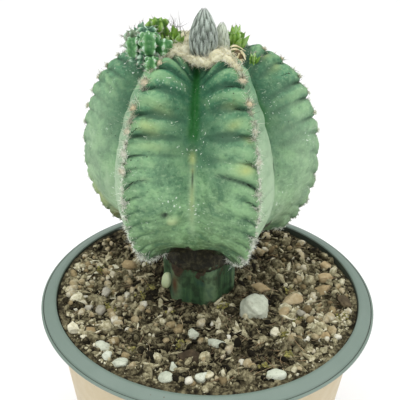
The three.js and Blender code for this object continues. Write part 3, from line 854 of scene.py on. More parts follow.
def pale_marks(share, rib, side, across, plain):
    """Pale wax on the flanks with painted light from the sides, the pale edge of the crests and the
    stripe down each groove.
    """
    low_pale = 1 - 0.8 * smooth(share, 0.5, 0.78)
    bloom_and_side_light = of_face(BLOOM_AND_SIDE_LIGHT, rib, side) * low_pale
    bloom_and_side_light = bloom_and_side_light * (1 - 0.6 * smooth(across, 0.5, 0.98)) * smooth(share, 0.1, 0.25)
    # Pale lower faces of the side ribs: pale wax with painted light from the sides
    flank = ((rib == 4) & (side == 1)) | ((rib == 1) & (side == -1))
    streaked = 0.6 + 0.5 * waves(plain * [1, 1, 0.25], 2.5, 13)
    low_flank = flank * smooth(share, 0.56, 0.4) * smooth(across, 0.3, 0.7) * streaked
    edge = 0.3 * bell(across, 0, 0.05) * smooth(share, 0.14, 0.25)
    stripe = 0.42 * bell(across, 1, 0.07) * smooth(share, 0.26, 0.36)
    stripe = stripe * (1 - smooth(share, 0.54, 0.6))
    return np.maximum.reduce([bloom_and_side_light, 0.85 * low_flank, edge, stripe])


def body_skin(around, up):
    """The skin with its corky collar, and the fields that colour it."""
    rib, side, across = body_fields(around)
    share = np.interp(up, [0, 0.003, 0.03, 0.085, 0.94, 1], [-1.001, -1, 0, 0.15, 0.88, 1])
    base = np.clip(share, 0, 1)
    relief, along, plain, bump, pit = skin_relief(base, rib, side, across)
    places = body_place(base, rib, side, across, 0, relief)

    # The collar laps over the top of the stock
    down = np.clip(-share, 0, 1)
    away = places - [PLANT_X, PLANT_Y, 0]
    away[:, 2] = 0
    away = unit(away)
    ring = away * 13
    ragged = 0.9 * waves(ring, 5, 21) + 0.5 * waves(ring, 1.6, 22)
    lumpy = 0.5 + 0.6 * waves(np.column_stack([ring[:, :2], down * 3]), 1.8, 23)
    swell = lumpy * np.sin(math.pi * np.clip(down, 0, 1)) ** 0.5 + 0.3 * down
    places += away * swell[:, None]
    places[:, 2] -= down * (2.3 + ragged)
    places[share < -1] = (PLANT_X, PLANT_Y, UNION_Z - 1.5)

    dark, shade = dark_marks(base, rib, side, across, along, plain)
    slit = bell(across, 1, 0.012) * (0.1 + 0.75 * bell(base, 0.52, 0.03))
    slit = slit * smooth(base, 0.36, 0.42) * (1 - 0.8 * bell(base, 0.585, 0.03))
    crack = near_crack(base, rib, side, across, 0, 0.005)
    pale = pale_marks(base, rib, side, across, plain)
    # The dark neck's edge: corky skin low down, and the ragged tongues up towards the grooves
    # painted shade under the body
    cork_and_shade_edge = 0.09 + 0.055 * waves(plain, 5, 9) + 0.04 * waves(plain, 1.5, 10)
    tongues = np.clip(waves(plain * [1, 1, 0.5], 3.2, 16) + 0.1, 0, 1)
    cork_and_shade_edge = cork_and_shade_edge + 0.28 * (tongues * smooth(across, 0.4, 0.9))
    fields = {
        "ridge": 0.55 + 0.7 * relief,
        # Pale wax and painted light on the flanks, with the lump painted paler
        "bloom_and_side_light": np.maximum(pale, 0.95 * bump),
        "yellow": yellow_marks(base, rib, side, across, plain, bump),
        "brown": spot(base, across, rib, side, (4, 1, 0.2, 0.2), (0.06, 0.5)),
        # Scar: the pit, the groove's slit and the crack, with painted shade in the notches
        "scar": np.maximum.reduce([dark, pit * 0.9, slit, crack * 0.4]),
        "shade": shade,
        "cork_and_shade": 1 - smooth(base, cork_and_shade_edge - 0.015, cork_and_shade_edge + 0.035),
    }
    fields = {name: np.clip(values, 0, 1) for name, values in fields.items()}
    return places, {"rise": base, "across": across, **fields}


def crack_tube(number):
    """A thin dark crack: a tapering tube half sunk into the skin."""
    r, s, shares, overs, width = CRACKS[number]
    stops = np.linspace(0, 1, len(shares))

    def middle(t, lift):
        share = np.interp(t, stops, shares) + 0.0016 * np.sin(29 * t + number)
        across = np.interp(t, stops, overs)
        rib, side = np.full(len(t), r), np.full(len(t), s)
        relief = skin_relief(share, rib, side, across)[0]
        return body_place(share, rib, side, across, lift, relief)

    def place(around, up):
        centre = middle(up, 0.0)
        out = unit(middle(up, 1.0) - centre)
        way = unit(middle(np.clip(up + 0.02, 0, 1), 0) - middle(np.clip(up - 0.02, 0, 1), 0))
        aside = np.cross(way, out)
        half = width / 2 * np.minimum(smooth(up, 0, 0.2) + 0.25, 1) * (1 - up) ** 0.6
        half = half * (1 + 0.35 * np.sin(17 * up + 2 * number)) * between_ends(up)
        angle = around * TURN
        flat = (np.cos(angle) * half)[:, None] * aside
        flat = flat + (np.sin(angle) * half * 0.55)[:, None] * out
        return centre + flat, {"along": up}

    return wrap("crack", 8, 26, place)


# Settings that a user would change


class PotSettings(bpy.types.PropertyGroup):
    sides: bpy.props.IntProperty(
        name="Sides", description="Faces round the pot", default=180, min=24, max=360
    )
    lip_depth: bpy.props.FloatProperty(
        name="Lip depth", description="Height of the sloping lip", default=2.8 * MM, unit="LENGTH"
    )
    wall: bpy.props.FloatProperty(
        name="Wall", description="Thickness of the tapered wall", default=1.2 * MM, unit="LENGTH"
    )
    drain_radius: bpy.props.FloatProperty(
        name="Drain radius", description="Radius of a drain hole", default=3.5 * MM, unit="LENGTH"
    )
    lip_colour: bpy.props.IntVectorProperty(
        name="Lip colour", description="Red, green and blue, 0 to 255", default=(114, 131, 121)
    )
    wall_colour: bpy.props.IntVectorProperty(
        name="Wall colour", description="Red, green and blue, 0 to 255", default=(193, 178, 145)
    )


class BodySettings(bpy.types.PropertyGroup):
    columns: bpy.props.IntProperty(
        name="Columns",
        description="Faces round the body, in twelves",
        default=228,
        min=96,
        max=288,
    )
    rows: bpy.props.IntProperty(
        name="Rows", description="Faces from neck to crown", default=282, min=80, max=340
    )
    # The greens up the rib hold painted shade: the top green is darker for the shade over the upper
    # ribs
    low_green: bpy.props.IntVectorProperty(
        name="Low green", description="Skin low on the ribs", default=(106, 144, 98)
    )
    middle_green: bpy.props.IntVectorProperty(
        name="Middle green", description="Skin half way up", default=(98, 144, 106)
    )
    top_green: bpy.props.IntVectorProperty(
        name="Top green", description="Skin near the crown", default=(70, 132, 96)
    )
    # Pale colour of the flanks: pale wax with painted light from the sides
    pale_bloom_and_side_light: bpy.props.IntVectorProperty(
        name="Bloom", description="Pale waxy bloom of the flanks", default=(166, 192, 158)
    )
    yellow: bpy.props.IntVectorProperty(
        name="Yellow", description="Sunlit and healed patches", default=(172, 186, 116)
    )


class WoolSettings(bpy.types.PropertyGroup):
    hair: bpy.props.FloatProperty(
        name="Hair length", description="Longest hairs of a tuft", default=1.5 * MM, unit="LENGTH"
    )
    tuft_hairs: bpy.props.IntProperty(
        name="Hairs in a tuft", description="Hairs of one crest tuft", default=70, min=4, max=120
    )
    fuzz: bpy.props.IntProperty(
        name="Crest fuzz",
        description="Fine hairs along a front crest",
        default=2800,
        min=0,
        max=8000,
    )


class SoilSettings(bpy.types.PropertyGroup):
    crumbs: bpy.props.IntProperty(
        name="Crumbs", description="Loose crumbs of the mix", default=5900, min=0, max=8000
    )
    gravel: bpy.props.IntProperty(
        name="Gravel", description="Small stones in the mix", default=260, min=0, max=900
    )
    fibres: bpy.props.IntProperty(
        name="Fibres", description="Dry fibres on the mix", default=620, min=0, max=900
    )


class StageSettings(bpy.types.PropertyGroup):
    floor: bpy.props.FloatProperty(
        name="Floor", description="Width of the floor", default=12.0, unit="LENGTH"
    )
    sky: bpy.props.FloatProperty(
        name="Soft light", description="Strength of the even light", default=0.55, min=0
    )
    ceiling: bpy.props.FloatProperty(
        name="Ceiling light", description="Power of the overhead lamp in watts", default=95.0, min=0
    )
    key: bpy.props.FloatProperty(
        name="Main light", description="Power of the main lamp in watts", default=2.6, min=0
    )
    fill: bpy.props.FloatProperty(
        name="Second light", description="Power of the second lamp in watts", default=1.8, min=0
    )


# Pot


def pot_outline(settings):
    """Radius and height from the middle of the underside, up outside and down inside."""
    radius = (POT_HIGH[0] - POT_LOW[0]) / 2
    wall, under = settings.wall / MM, RIM_Z - settings.lip_depth / MM
    foot, inside = BASE_RADIUS, radius - LIP_WIDTH
    return [
        (foot - 1.5, 0.0), (foot - 0.7, 0.15), (foot - 0.2, 0.5), (foot, 1.0),
        (radius - 4.65, under - 0.3), (radius - 4.3, under), (radius - 0.7, under),
        (radius - 0.25, under + 0.12), (radius - 0.03, under + 0.45),
        (radius - 0.05, under + 0.8), (radius - 0.25, under + 1.02),
        (radius - 0.7, under + 1.08), (radius - 0.95, under + 1.0),
        (radius - 1.1, under + 1.3), (radius - 1.3, under + 1.55),
        (radius - 1.7, under + 1.6), (inside + 1.9, RIM_Z - 0.22),
        (inside + 1.2, RIM_Z - 0.03), (inside + 0.6, RIM_Z - 0.05),
        (inside + 0.15, RIM_Z - 0.3), (inside, RIM_Z - 0.8), (inside - 0.35, under),
        (foot - wall, wall + 0.8), (foot - wall - 1.2, wall),
    ]


class CACTUS_OT_pot(bpy.types.Operator):
    """Pot: two-tone tapered plastic pot with a wide sloping lip and drain holes"""

    bl_idname = "cactus.add_pot"
    bl_label = "Add the pot"

    def execute(self, context):
        settings = context.scene.cactus_pot
        steps = pot_outline(settings)
        deselect()
        bpy.ops.mesh.primitive_circle_add(
            vertices=settings.sides, radius=steps[0][0] * MM, fill_type="NGON"
        )
        pot = context.active_object
        bpy.ops.object.mode_set(mode="EDIT")
        bpy.ops.mesh.select_all(action="SELECT")
        for (radius, z), (next_radius, next_z) in zip(steps, steps[1:]):
            bpy.ops.mesh.extrude_region_move(
                TRANSFORM_OT_translate={"value": (0, 0, (next_z - z) * MM)}
            )
            scale = next_radius / radius
            bpy.ops.transform.resize(value=(scale, scale, 1), center_override=(0, 0, 0))
        bpy.ops.object.mode_set(mode="OBJECT")
        close_up(pot)
        for i in range(DRAIN_HOLES):
            angle = (i + 0.5) / DRAIN_HOLES * TURN
            x, y = DRAIN_CIRCLE * MM * math.cos(angle), DRAIN_CIRCLE * MM * math.sin(angle)
            bpy.ops.object.select_all(action="DESELECT")
            bpy.ops.mesh.primitive_cylinder_add(
                vertices=24, radius=settings.drain_radius, depth=8 * MM, location=(x, y, 0)
            )
            hole = context.active_object
            choose(pot)
            cut = pot.modifiers.new("drain", "BOOLEAN")
            cut.operation, cut.object, cut.solver = "DIFFERENCE", hole, "EXACT"
            bpy.ops.object.modifier_apply(modifier="drain")
            bpy.data.objects.remove(hole)
        choose(pot)
        bpy.ops.object.shade_smooth_by_angle(angle=math.radians(38))
        pot.name = pot.data.name = "pot_shell"
        wear(
            pot,
            plastic_finish("pot_lip", tuple(settings.lip_colour), (132, 147, 137), 0.42),
            plastic_finish("pot_wall", tuple(settings.wall_colour), (208, 194, 162), 0.5),
            # Inner wall: painted shade, dark green-black below the lip
            plastic_finish("pot_inside_shade", (50, 58, 48), (72, 76, 62), 0.7),
        )
        # The lip is the first material, the outside below it the second, the inside the third,
        # darkened as painted shade
        lip, wall, inside = range(3)
        wall_top = RIM_Z * MM - settings.lip_depth - 0.1 * MM
        inside_top = (RIM_Z - 0.9) * MM
        for face in pot.data.polygons:
            place = face.center
            outward = face.normal.x * place.x + face.normal.y * place.y
            if place.z < wall_top and (outward > 0 or place.z < 0.3 * MM):
                face.material_index = wall
            elif outward < 0 and place.z < inside_top:
                face.material_index = inside
            else:
                face.material_index = lip
        settle(pot, "pot_plastic", "pot")
        return {"FINISHED"}


# Cactus body and stock


class CACTUS_OT_body(bpy.types.Operator):
    """Body: six ribs with folds, notches, fine cracks and a corky neck"""

    bl_idname = "cactus.add_body"
    bl_label = "Add the cactus body"

    def execute(self, context):
        settings = context.scene.cactus_body
        body = wrap("body_skin", settings.columns, settings.rows, body_skin)
        wear(body, skin_finish(settings))
        settle(body, "cactus_skin", "cactus_body")

        cracks = joined("skin_cracks", *[crack_tube(number) for number in range(len(CRACKS))])
        finish = Finish("skin_cracks", roughness=0.8, specular=0.15)
        dark = finish.ramp(
            finish.noise(0.9, 4, 0.6), (0.3, paint(18, 24, 16)), (0.7, paint(38, 50, 32))
        )
        wear(cracks, finish.done(dark, (finish.noise(0.4, 3), 0.05)))
        settle(cracks, "cactus_skin")
        return {"FINISHED"}


def stock_column(around, up):
    """The stock from its buried end to the graft, with one small scar."""
    angle = around * TURN
    top = STOCK_VISIBLE - 0.5
    z = np.interp(up, [0, 0.02, 0.3, 0.98, 1], [-STOCK_BURIED, -STOCK_BURIED, -3, top, top])
    heights = [-STOCK_BURIED, -32, -18, -2, 5, 11, 15.7]
    scale = np.interp(z, heights, [0.3, 0.8, 0.97, 1, 1, 0.99, 0.95])
    wave = np.abs(np.cos((RIBS * (angle + math.pi / 2 - math.radians(STOCK_TURN))) / 2))
    radius = STOCK_RADIUS * scale * (0.85 + 0.15 * wave**1.5) * between_ends(up)
    out = np.stack([np.cos(angle), np.sin(angle), np.zeros_like(angle)], -1)
    places = np.array([PLANT_X, PLANT_Y, SOIL_Z]) + out * radius[:, None]
    places[:, 2] = SOIL_Z + z
    inner = (up > 0.01) & (up < 0.99)
    rough = 0.25 * waves(places, 5, 1) + 0.12 * waves(places, 1.6, 2)
    places = places + out * (rough * inner)[:, None]
    scar = bell(places[:, 0], PLANT_X - 8.6, 1.1) * bell(places[:, 2], SOIL_Z + 7, 4)
    return places, {
        "ridge": wave**2.4,
        "rise": np.clip(z / STOCK_VISIBLE, 0, 1),
        "scar": scar * (places[:, 1] < PLANT_Y),
    }


class CACTUS_OT_stock(bpy.types.Operator):
    """Rootstock: dark ribbed column stained brown at its top, and its one small shoot"""

    bl_idname = "cactus.add_stock"
    bl_label = "Add the rootstock"

    def execute(self, context):
        stock = wrap("stock_column", 120, 84, stock_column)
        wear(stock, stock_finish())
        settle(stock, "stock_skin", "rootstock")

        low, high = node_box("rootstock_bud")
        middle = (low + high) / 2
        long = high[2] - low[2]

        def shoot(around, up):
            angle = around * TURN
            radius = 2.0 * np.sqrt(np.clip(1 - (2 * up - 0.9) ** 2 / 1.21, 0, 1)) * between_ends(up)
            radius = radius * (1 + 0.05 * np.cos(5 * angle))
            x = middle[0] + radius * np.cos(angle) + 0.6 * up
            y = middle[1] + radius * np.sin(angle)
            return np.stack([x, y, low[2] + long * up], -1), {"ridge": 0.5 + 0.5 * up}

        bud = wrap("stock_shoot", 40, 36, shoot)
        wear(
            bud, head_finish("shoot_skin", (158, 176, 116), (206, 218, 168), (220, 226, 188), 0.3)
        )
        settle(bud, "stock_shoot", "rootstock_bud")
        return {"FINISHED"}


# Wool


def crest_spots():
    """Tufts along the crests: rib, share, age from tan (0) to grey (1), and size."""
    random = np.random.default_rng(12)
    spots = []
    for rib in range(RIBS):
        front = rib in FRONT_RIBS
        notches = np.asarray(NOTCHES[rib])
        middles = notches[:-1] + 0.22 * np.diff(notches)
        for share in middles:
            if share > 0.5:
                size = (1.5 if front else 0.85) * random.uniform(0.75, 1.2)
                age = np.clip(1.35 - 1.6 * share + random.normal(0, 0.12), 0, 1)
                spots.append((rib, share, age, size))
        share = 0.15
        while share < (0.6 if front else 0.5):
            if random.random() < (0.97 if front else 0.6):
                age = np.clip(random.normal(0.85, 0.2), 0, 1)
                size = (0.45 if front else 0.4) * random.uniform(0.6, 1.2)
                spots.append((rib, share, age, size))
            share += random.uniform(0.010, 0.019)
    return np.array(spots)


def felt_pads(random, at, out, age, size):
    """A small lumpy cushion of felt at each areole."""
    lump = ball(2)
    corners = corners_of(lump)
    move_corners(lump, corners * (1 + 0.5 * waves(corners, 0.6, 3))[:, None])
    return repeated(
        "pads",
        form_of(lump),
        at + out * 0.1,
        turns_towards(out, random.uniform(0, TURN, len(at))),
        np.stack([0.66 * size, 0.66 * size, 0.36 * size], -1),
        tint=np.clip(age + random.normal(0, 0.1, len(age)), 0, 1),
    )


def tuft_hairs(random, settings, at, out, age, size):
    """Short hairs that spread from each areole."""
    count = np.maximum((settings.tuft_hairs * np.clip(size, 0.4, 1.2)).astype(int), 6)
    pick = np.repeat(np.arange(len(at)), count)
    total = len(pick)
    turned = turns_towards(out, np.zeros(len(at)))[pick]
    angle, reach = random.uniform(0, TURN, total), np.sqrt(random.random(total))
    flat = np.stack([np.cos(angle) * reach, np.sin(angle) * reach, np.zeros(total)], -1)
    offset = np.einsum("nij,nj->ni", turned, flat * size[pick, None])
    roots = at[pick] + offset * 0.9 + out[pick] * (0.3 * size[pick] * (1 - reach**2))[:, None]
    aims = unit(out[pick] + 0.9 * offset + 0.45 * random.normal(size=(total, 3)))
    lengths = settings.hair / MM * size[pick] ** 0.5 * random.uniform(0.35, 1.0, total)
    tint = np.clip(age[pick] + 0.45 * reach + random.normal(0, 0.16, total), 0.2, 1)
    return hairs(
        "tufts",
        roots,
        aims,
        lengths * 0.62,
        random.uniform(0.09, 0.2, total),
        0.55 * random.normal(size=(total, 3)),
        steps=2,
        tint=tint,
    )


def crest_fuzz(random, settings, number):
    """Fine fuzz that runs down one crest in loose clumps."""
    total = settings.fuzz if number in FRONT_RIBS else settings.fuzz // 4
    clumps = np.arange(0.125, 0.9, 0.0125)
    clumps = clumps + random.normal(0, 0.003, len(clumps))
    weights = random.random(len(clumps)) ** 2.8 + 0.02
    weights *= 1 + 0.8 * smooth(clumps, 0.5, 0.3) + 0.5 * smooth(clumps, 0.52, 0.66)
    wide = random.uniform(0.012, 0.05, len(clumps))
    pick = random.choice(len(clumps), total, p=weights / weights.sum())
    share = clumps[pick] + random.normal(0, 0.003, total)
    side = random.choice([-1, 1], total)
    across = np.abs(random.normal(0, 1, total)) * wide[pick]
    rib = np.full(total, number)
    roots = body_place(share, rib, side, across)
    out = unit(body_place(share, rib, side, across, 1.0) - roots)
    age = 1.45 - 1.15 * share + 0.35 * (random.random(len(clumps))[pick] - 0.5)
    age = np.clip(age + random.normal(0, 0.15, total), 0.12, 1)
    age = np.where(random.random(total) < 0.16, 0.0, age)
    return hairs(
        "fuzz",
        roots - 0.1 * out,
        unit(out + 0.75 * random.normal(size=(total, 3))),
        random.uniform(0.4, 1.25, total) * (1 + 0.25 * smooth(share, 0.55, 0.75)),
        random.uniform(0.08, 0.17, total),
        0.8 * random.normal(size=(total, 3)),
        steps=2,
        tint=age,
    )


def fuzz_finish():
    """Hairs from dark through tan to nearly white, in places a little soiled."""
    fuzz = Finish("crest_fuzz", roughness=0.9, specular=0.1)
    tint = fuzz.ramp(
        fuzz.field("tint"),
        (0.0, paint(62, 66, 50)),
        (0.25, paint(204, 196, 166)),
        (0.6, paint(206, 212, 190)),
        (0.8, paint(224, 232, 210)),
        (1.0, paint(246, 251, 238)),
    )
    soiled = fuzz.stained(tint, fuzz.noise(0.8, 3), 0.45, 0.7, 0.18, (150, 140, 122))
    return fuzz.done(soiled, (fuzz.noise(0.4, 2), 0.02))


class CACTUS_OT_crest_wool(bpy.types.Operator):
    """Crest wool: a felted areole with fine hairs on each tubercle"""

    bl_idname = "cactus.add_crest_wool"
    bl_label = "Add the wool along the crests"

    def execute(self, context):
        settings = context.scene.cactus_wool
        random = np.random.default_rng(21)
        rib, share, age, size = crest_spots().T
        rib = rib.astype(int)
        side, crest = np.ones(len(rib), int), np.zeros(len(rib))
        at = body_place(share, rib, side, crest)
        out = unit(body_place(share, rib, side, crest, 1.0) - at)
        pads = felt_pads(random, at, out, age, size)
        tufts = tuft_hairs(random, settings, at, out, age, size)
        fuzz = [crest_fuzz(random, settings, number) for number in range(RIBS)]
        felt = wool_finish(
            "crest_wool",
            (0.0, paint(214, 200, 164)),
            (0.22, paint(232, 222, 194)),
            (0.45, paint(230, 226, 204)),
            (0.6, paint(196, 198, 178)),
            (0.8, paint(214, 217, 208)),
            (1.0, paint(238, 240, 235)),
            shading=0.14,
        )
        light_wool = fuzz_finish()
        settle(joined("crest_tufts", wear(pads, felt), wear(tufts, light_wool)), "crown_wool")
        settle(wear(joined("crest_fuzz", *fuzz), light_wool), "crown_wool")
        return {"FINISHED"}


# Share of the felt's edge at a crest, half way in and at the groove
FELT_EDGES = {
    (5, 1): (0.85, 0.855, 0.93), (0, -1): (0.79, 0.832, 0.915),
    (5, -1): (0.85, 0.87, 0.885), (0, 1): (0.8, 0.865, 0.885),
}
FELT_EDGE_BEHIND = (0.88, 0.885, 0.89)
FELT_HAIRS = 3600


def felt_edge(rib, side, across):
    edge = np.empty(len(across))
    for r in range(RIBS):
        for s in (-1, 1):
            here = (rib == r) & (side == s)
            stops = FELT_EDGES.get((r, s), FELT_EDGE_BEHIND)
            edge[here] = np.interp(across[here], [0, 0.5, 1], stops)
    return edge


def crown_felt(around, up):
    """The felt pad: its underside first, then its lumpy top, its edge drawn along the crests."""
    rib, side, across = body_fields(around)
    below = up < 0.4
    inner = np.where(below, up / 0.4, (1 - up) / 0.6)
    share = 1 - inner * (1 - felt_edge(rib, side, across))
    plain = body_place(share, rib, side, across)
    lumps = 0.8 * np.abs(waves(plain, 3.2, 5)) + 0.5 * waves(plain, 1.4, 6)
    lumps = lumps + 0.2 * waves(plain, 0.7, 7)
    front = ((rib == 5) & (side == 1)) | ((rib == 0) & (side == -1))
    roll = (0.3 + 0.4 * front) * bell(inner, 0.84, 0.15)
    thick = (0.8 + lumps + roll) * np.sqrt(1 - inner**6)
    places = body_place(share, rib, side, across, np.where(below, -0.5, thick - 0.15))
    tint = 0.5 + 0.35 * waves(plain, 4, 8) + 0.2 * waves(plain, 1, 9)
    return places, {"tint": np.clip(tint, 0, 1)}


def felt_hairs(random):
    """Loose hairs that stand out of the felt pad."""
    around = random.random(FELT_HAIRS)
    rib, side, across = body_fields(around)
    inner = np.sqrt(random.random(FELT_HAIRS))
    share = 1 - inner * (1 - felt_edge(rib, side, across)) * 1.03
    roots = body_place(share, rib, side, across, 1.3 * np.sqrt(1 - np.minimum(inner, 1) ** 6))
    out = unit(body_place(share, rib, side, across, 3.0) - roots)
    return hairs(
        "loose",
        roots,
        unit(out + 1.1 * random.normal(size=(FELT_HAIRS, 3))),
        random.uniform(0.5, 1.5, FELT_HAIRS),
        random.uniform(0.1, 0.2, FELT_HAIRS),
        0.9 * random.normal(size=(FELT_HAIRS, 3)) - 0.4 * out,
        steps=2,
        tint=np.clip(random.normal(0.6, 0.25, FELT_HAIRS), 0, 1),
    )


# The roll of wool in front of the buds: rib, side, share, across and lift on the body, or a place
# above the graft where it bridges the groove, each with the roll's radius
ROLL_STOPS = (
    ((5, 1, 0.85, 0.0, 0.1), 0.43),
    ((5, 1, 0.855, 0.25, 0.2), 0.688),
    ((5, 1, 0.857, 0.5, 0.3), 0.774),
    ((-6.6, -3.6, 72.7), 0.946),
    ((-3.9, -4.9, 72.4), 1.118),
    ((-1.4, -5.3, 72.3), 1.29),
    ((0, -1, 0.84, 0.5, 0.6), 1.29),
    ((0, -1, 0.815, 0.25, 0.6), 1.118),
    ((0, -1, 0.795, 0.04, 0.4), 0.86),
    ((0, -1, 0.78, 0.0, 0.1), 0.43),
)
ROLL_STRANDS = 3000


def roll_line():
    """The line through the middle of the roll."""
    middles = []
    for stop, _ in ROLL_STOPS:
        if len(stop) == 3:
            middles.append(np.array(stop) + [0, 0, UNION_Z])
        else:
            rib, side, share, across, lift = (np.array([value]) for value in stop)
            middles.append(body_place(share, rib, side, across, lift)[0])
    return outline(middles)[0]


def wool_roll(random):
    """The roll as a lumpy tube, and the strands that wind about it."""
    line = roll_line()
    stops = np.linspace(0, 1, len(line))
    widths = [radius for _, radius in ROLL_STOPS]
    radii = np.interp(stops, np.linspace(0, 1, len(widths)), widths)

    def centre(t):
        return np.stack([np.interp(t, stops, line[:, k]) for k in range(3)], -1)

    def heading(t):
        return unit(centre(np.clip(t + 0.01, 0, 1)) - centre(np.clip(t - 0.01, 0, 1)))

    def place(around, up):
        middle = centre(up)
        way = heading(up)
        aside = unit(np.cross(way, [0, 0, 1.0]))
        top = np.cross(aside, way)
        closed = between_ends(up)
        angle = around * TURN
        ends = np.minimum(smooth(up, -0.01, 0.05), smooth(1 - up, -0.01, 0.05)) ** 0.5
        radius = np.interp(up, stops, radii) * closed * ends
        out = np.cos(angle)[:, None] * aside + np.sin(angle)[:, None] * top
        bare = middle + radius[:, None] * out
        lumps = 0.3 * waves(bare, 2.6, 41) + 0.16 * waves(bare, 1.1, 42)
        tint = 0.55 + 0.35 * waves(bare, 3, 43) + 0.2 * waves(bare, 0.9, 44)
        return bare + (lumps * closed)[:, None] * out, {"tint": np.clip(tint, 0, 1)}

    tube = wrap("roll", 40, 150, place)
    total = ROLL_STRANDS
    around, up = random.random(total), random.uniform(0.01, 0.99, total)
    roots = place(around, up)[0]
    out = unit(roots - centre(up))
    wound = random.choice([-1, 1], total)[:, None] * random.uniform(0.3, 1.4, total)[:, None]
    strands = hairs(
        "strands",
        roots - 0.15 * out,
        unit(0.35 * out + heading(up) * wound + 0.25 * random.normal(size=(total, 3))),
        random.uniform(0.7, 2.0, total),
        random.uniform(0.1, 0.2, total),
        0.5 * random.normal(size=(total, 3)) - 0.3 * out,
        steps=3,
        tint=np.clip(random.normal(0.6, 0.32, total), 0, 1),
    )
    return tube, strands


class CACTUS_OT_crown_wool(bpy.types.Operator):
    """Crown wool: tan felt over the growing point, with loose hairs"""

    bl_idname = "cactus.add_crown_wool"
    bl_label = "Add the wool of the crown"

    def execute(self, context):
        random = np.random.default_rng(31)
        felt = wrap("felt", 144, 90, crown_felt)
        loose = felt_hairs(random)
        tan = wool_finish(
            "crown_felt",
            (0.0, paint(156, 142, 104)),
            (0.25, paint(214, 206, 166)),
            (0.6, paint(236, 234, 202)),
            (1.0, paint(250, 250, 234)),
            shading=0.12,
        )
        whole = wear(joined("crown_felt", felt, loose), tan)
        settle(whole, "crown_wool", "crown_wool")
        roll = wear(joined("wool_roll", *wool_roll(random)), tan)
        settle(roll, "crown_wool", "crown_wool_front")
        return {"FINISHED"}


# Buds


def bud_profile(t):
    heights = [0, 0.15, 0.3, 0.45, 0.6, 0.72, 0.82, 0.9, 0.96, 1]
    widths = [0.6, 0.8, 0.95, 1, 0.9, 0.74, 0.56, 0.4, 0.24, 0.1]
    return np.interp(t, heights, widths)


def bud_core(at, radius, height, lean):
    def place(around, up):
        angle = around * TURN
        r = radius * bud_profile(up) * between_ends(up)
        x = at[0] + lean[0] * up + r * np.cos(angle)
        y = at[1] + lean[1] * up + r * np.sin(angle)
        return np.stack([x, y, at[2] + height * up], -1), {"tint": 0 * up, "along": 0 * up}

    return place


def bud_hairs(name, at, radius, height, lean, scales, each, thick, random, length):
    """Overlapping scales in spirals, each a brush of hairs that draw together above it."""
    order = np.arange(scales)
    t = -0.1 + 0.98 * (order / scales) ** 1.02
    angle = order * GOLDEN_TURN
    pick = np.repeat(order, each)
    total = len(pick)
    spread = random.uniform(-1, 1, total)
    rise = t[pick] - 0.02 + 0.015 * random.random(total)
    rise = np.clip(rise, 0.005, 0.94)
    width = 0.42 * (1 - 0.35 * rise)
    turn = angle[pick] + spread * width
    r = radius * bud_profile(rise)
    out = np.stack([np.cos(turn), np.sin(turn), np.zeros(total)], -1)
    leaning = np.array([lean[0], lean[1], 0.0])
    foot = np.array(at)
    roots = foot + leaning * rise[:, None] + out * r[:, None]
    roots[:, 2] += height * rise
    reach = length * (1 - 0.45 * rise) * random.uniform(0.45, 1.1, total)
    end_rise = np.clip(rise + reach / height, 0, 1.0)
    end_turn = angle[pick] + spread * width * 0.16 + 0.03 * random.normal(size=total)
    end_r = radius * bud_profile(np.clip(end_rise, 0, 0.985)) + 0.3 - 0.3 * end_rise
    end_out = np.stack([np.cos(end_turn), np.sin(end_turn), np.zeros(total)], -1)
    ends = foot + leaning * end_rise[:, None] + end_out * end_r[:, None]
    ends[:, 2] += height * end_rise
    line = ends - roots
    far = np.linalg.norm(line, axis=1)
    bow = out * (0.14 + 0.1 * random.random(total))[:, None]
    return hairs(
        name,
        roots,
        line / far[:, None] + bow,
        far,
        thick * random.uniform(0.7, 1.3, total),
        -bow,
        steps=3,
        tint=np.clip(1.0 - 0.85 * np.abs(spread) + random.normal(0, 0.2, total), 0, 1),
    )


def hair_finish(name, core, root, tip_colour):
    """Hairs that pale towards their tips, and darken at the sides of each scale."""
    finish = Finish(name, roughness=0.7, specular=0.25, Sheen_Weight=0.15)
    light = finish.over(finish.field("along"), paint(*root), paint(*tip_colour))
    streak = finish.band(finish.field("tint"), 0.05, 0.6)
    colour = finish.over(streak, paint(*core), light)
    return finish.done(colour, (finish.noise(0.5, 3), 0.08))


def dried_strap(at, turn, start, length, width, base, rise, drop):
    """A dried petal: a thin strap that rises, bends over and hangs."""

    def place(around, up):
        angle = around * TURN
        closed = between_ends(up)
        half = width / 2 * (0.45 + 0.55 * np.sin(math.pi * (0.08 + 0.84 * up))) * closed
        side = half * np.cos(angle)
        ahead = length * up
        high = base + rise * np.sin(math.pi * up) - drop * up**2 + 0.3 * np.sin(5 * up + 3 * turn)
        high = high + 0.14 * np.sin(angle) * closed - 0.35 * side**2 + 0.25 * side * np.sin(4 * up)
        x = start[0] + ahead * math.cos(turn) - side * math.sin(turn)
        y = start[1] + ahead * math.sin(turn) + side * math.cos(turn)
        places = at + np.stack([x, y, np.clip(high, 0, 6.0)], -1)
        tint = 0.75 - 0.45 * bell(np.abs(side), width / 2, 0.25) + 0.2 * np.sin(9 * up + turn)
        return places, {"tint": np.clip(tint, 0, 1)}

    return wrap("strap", 12, 18, place)


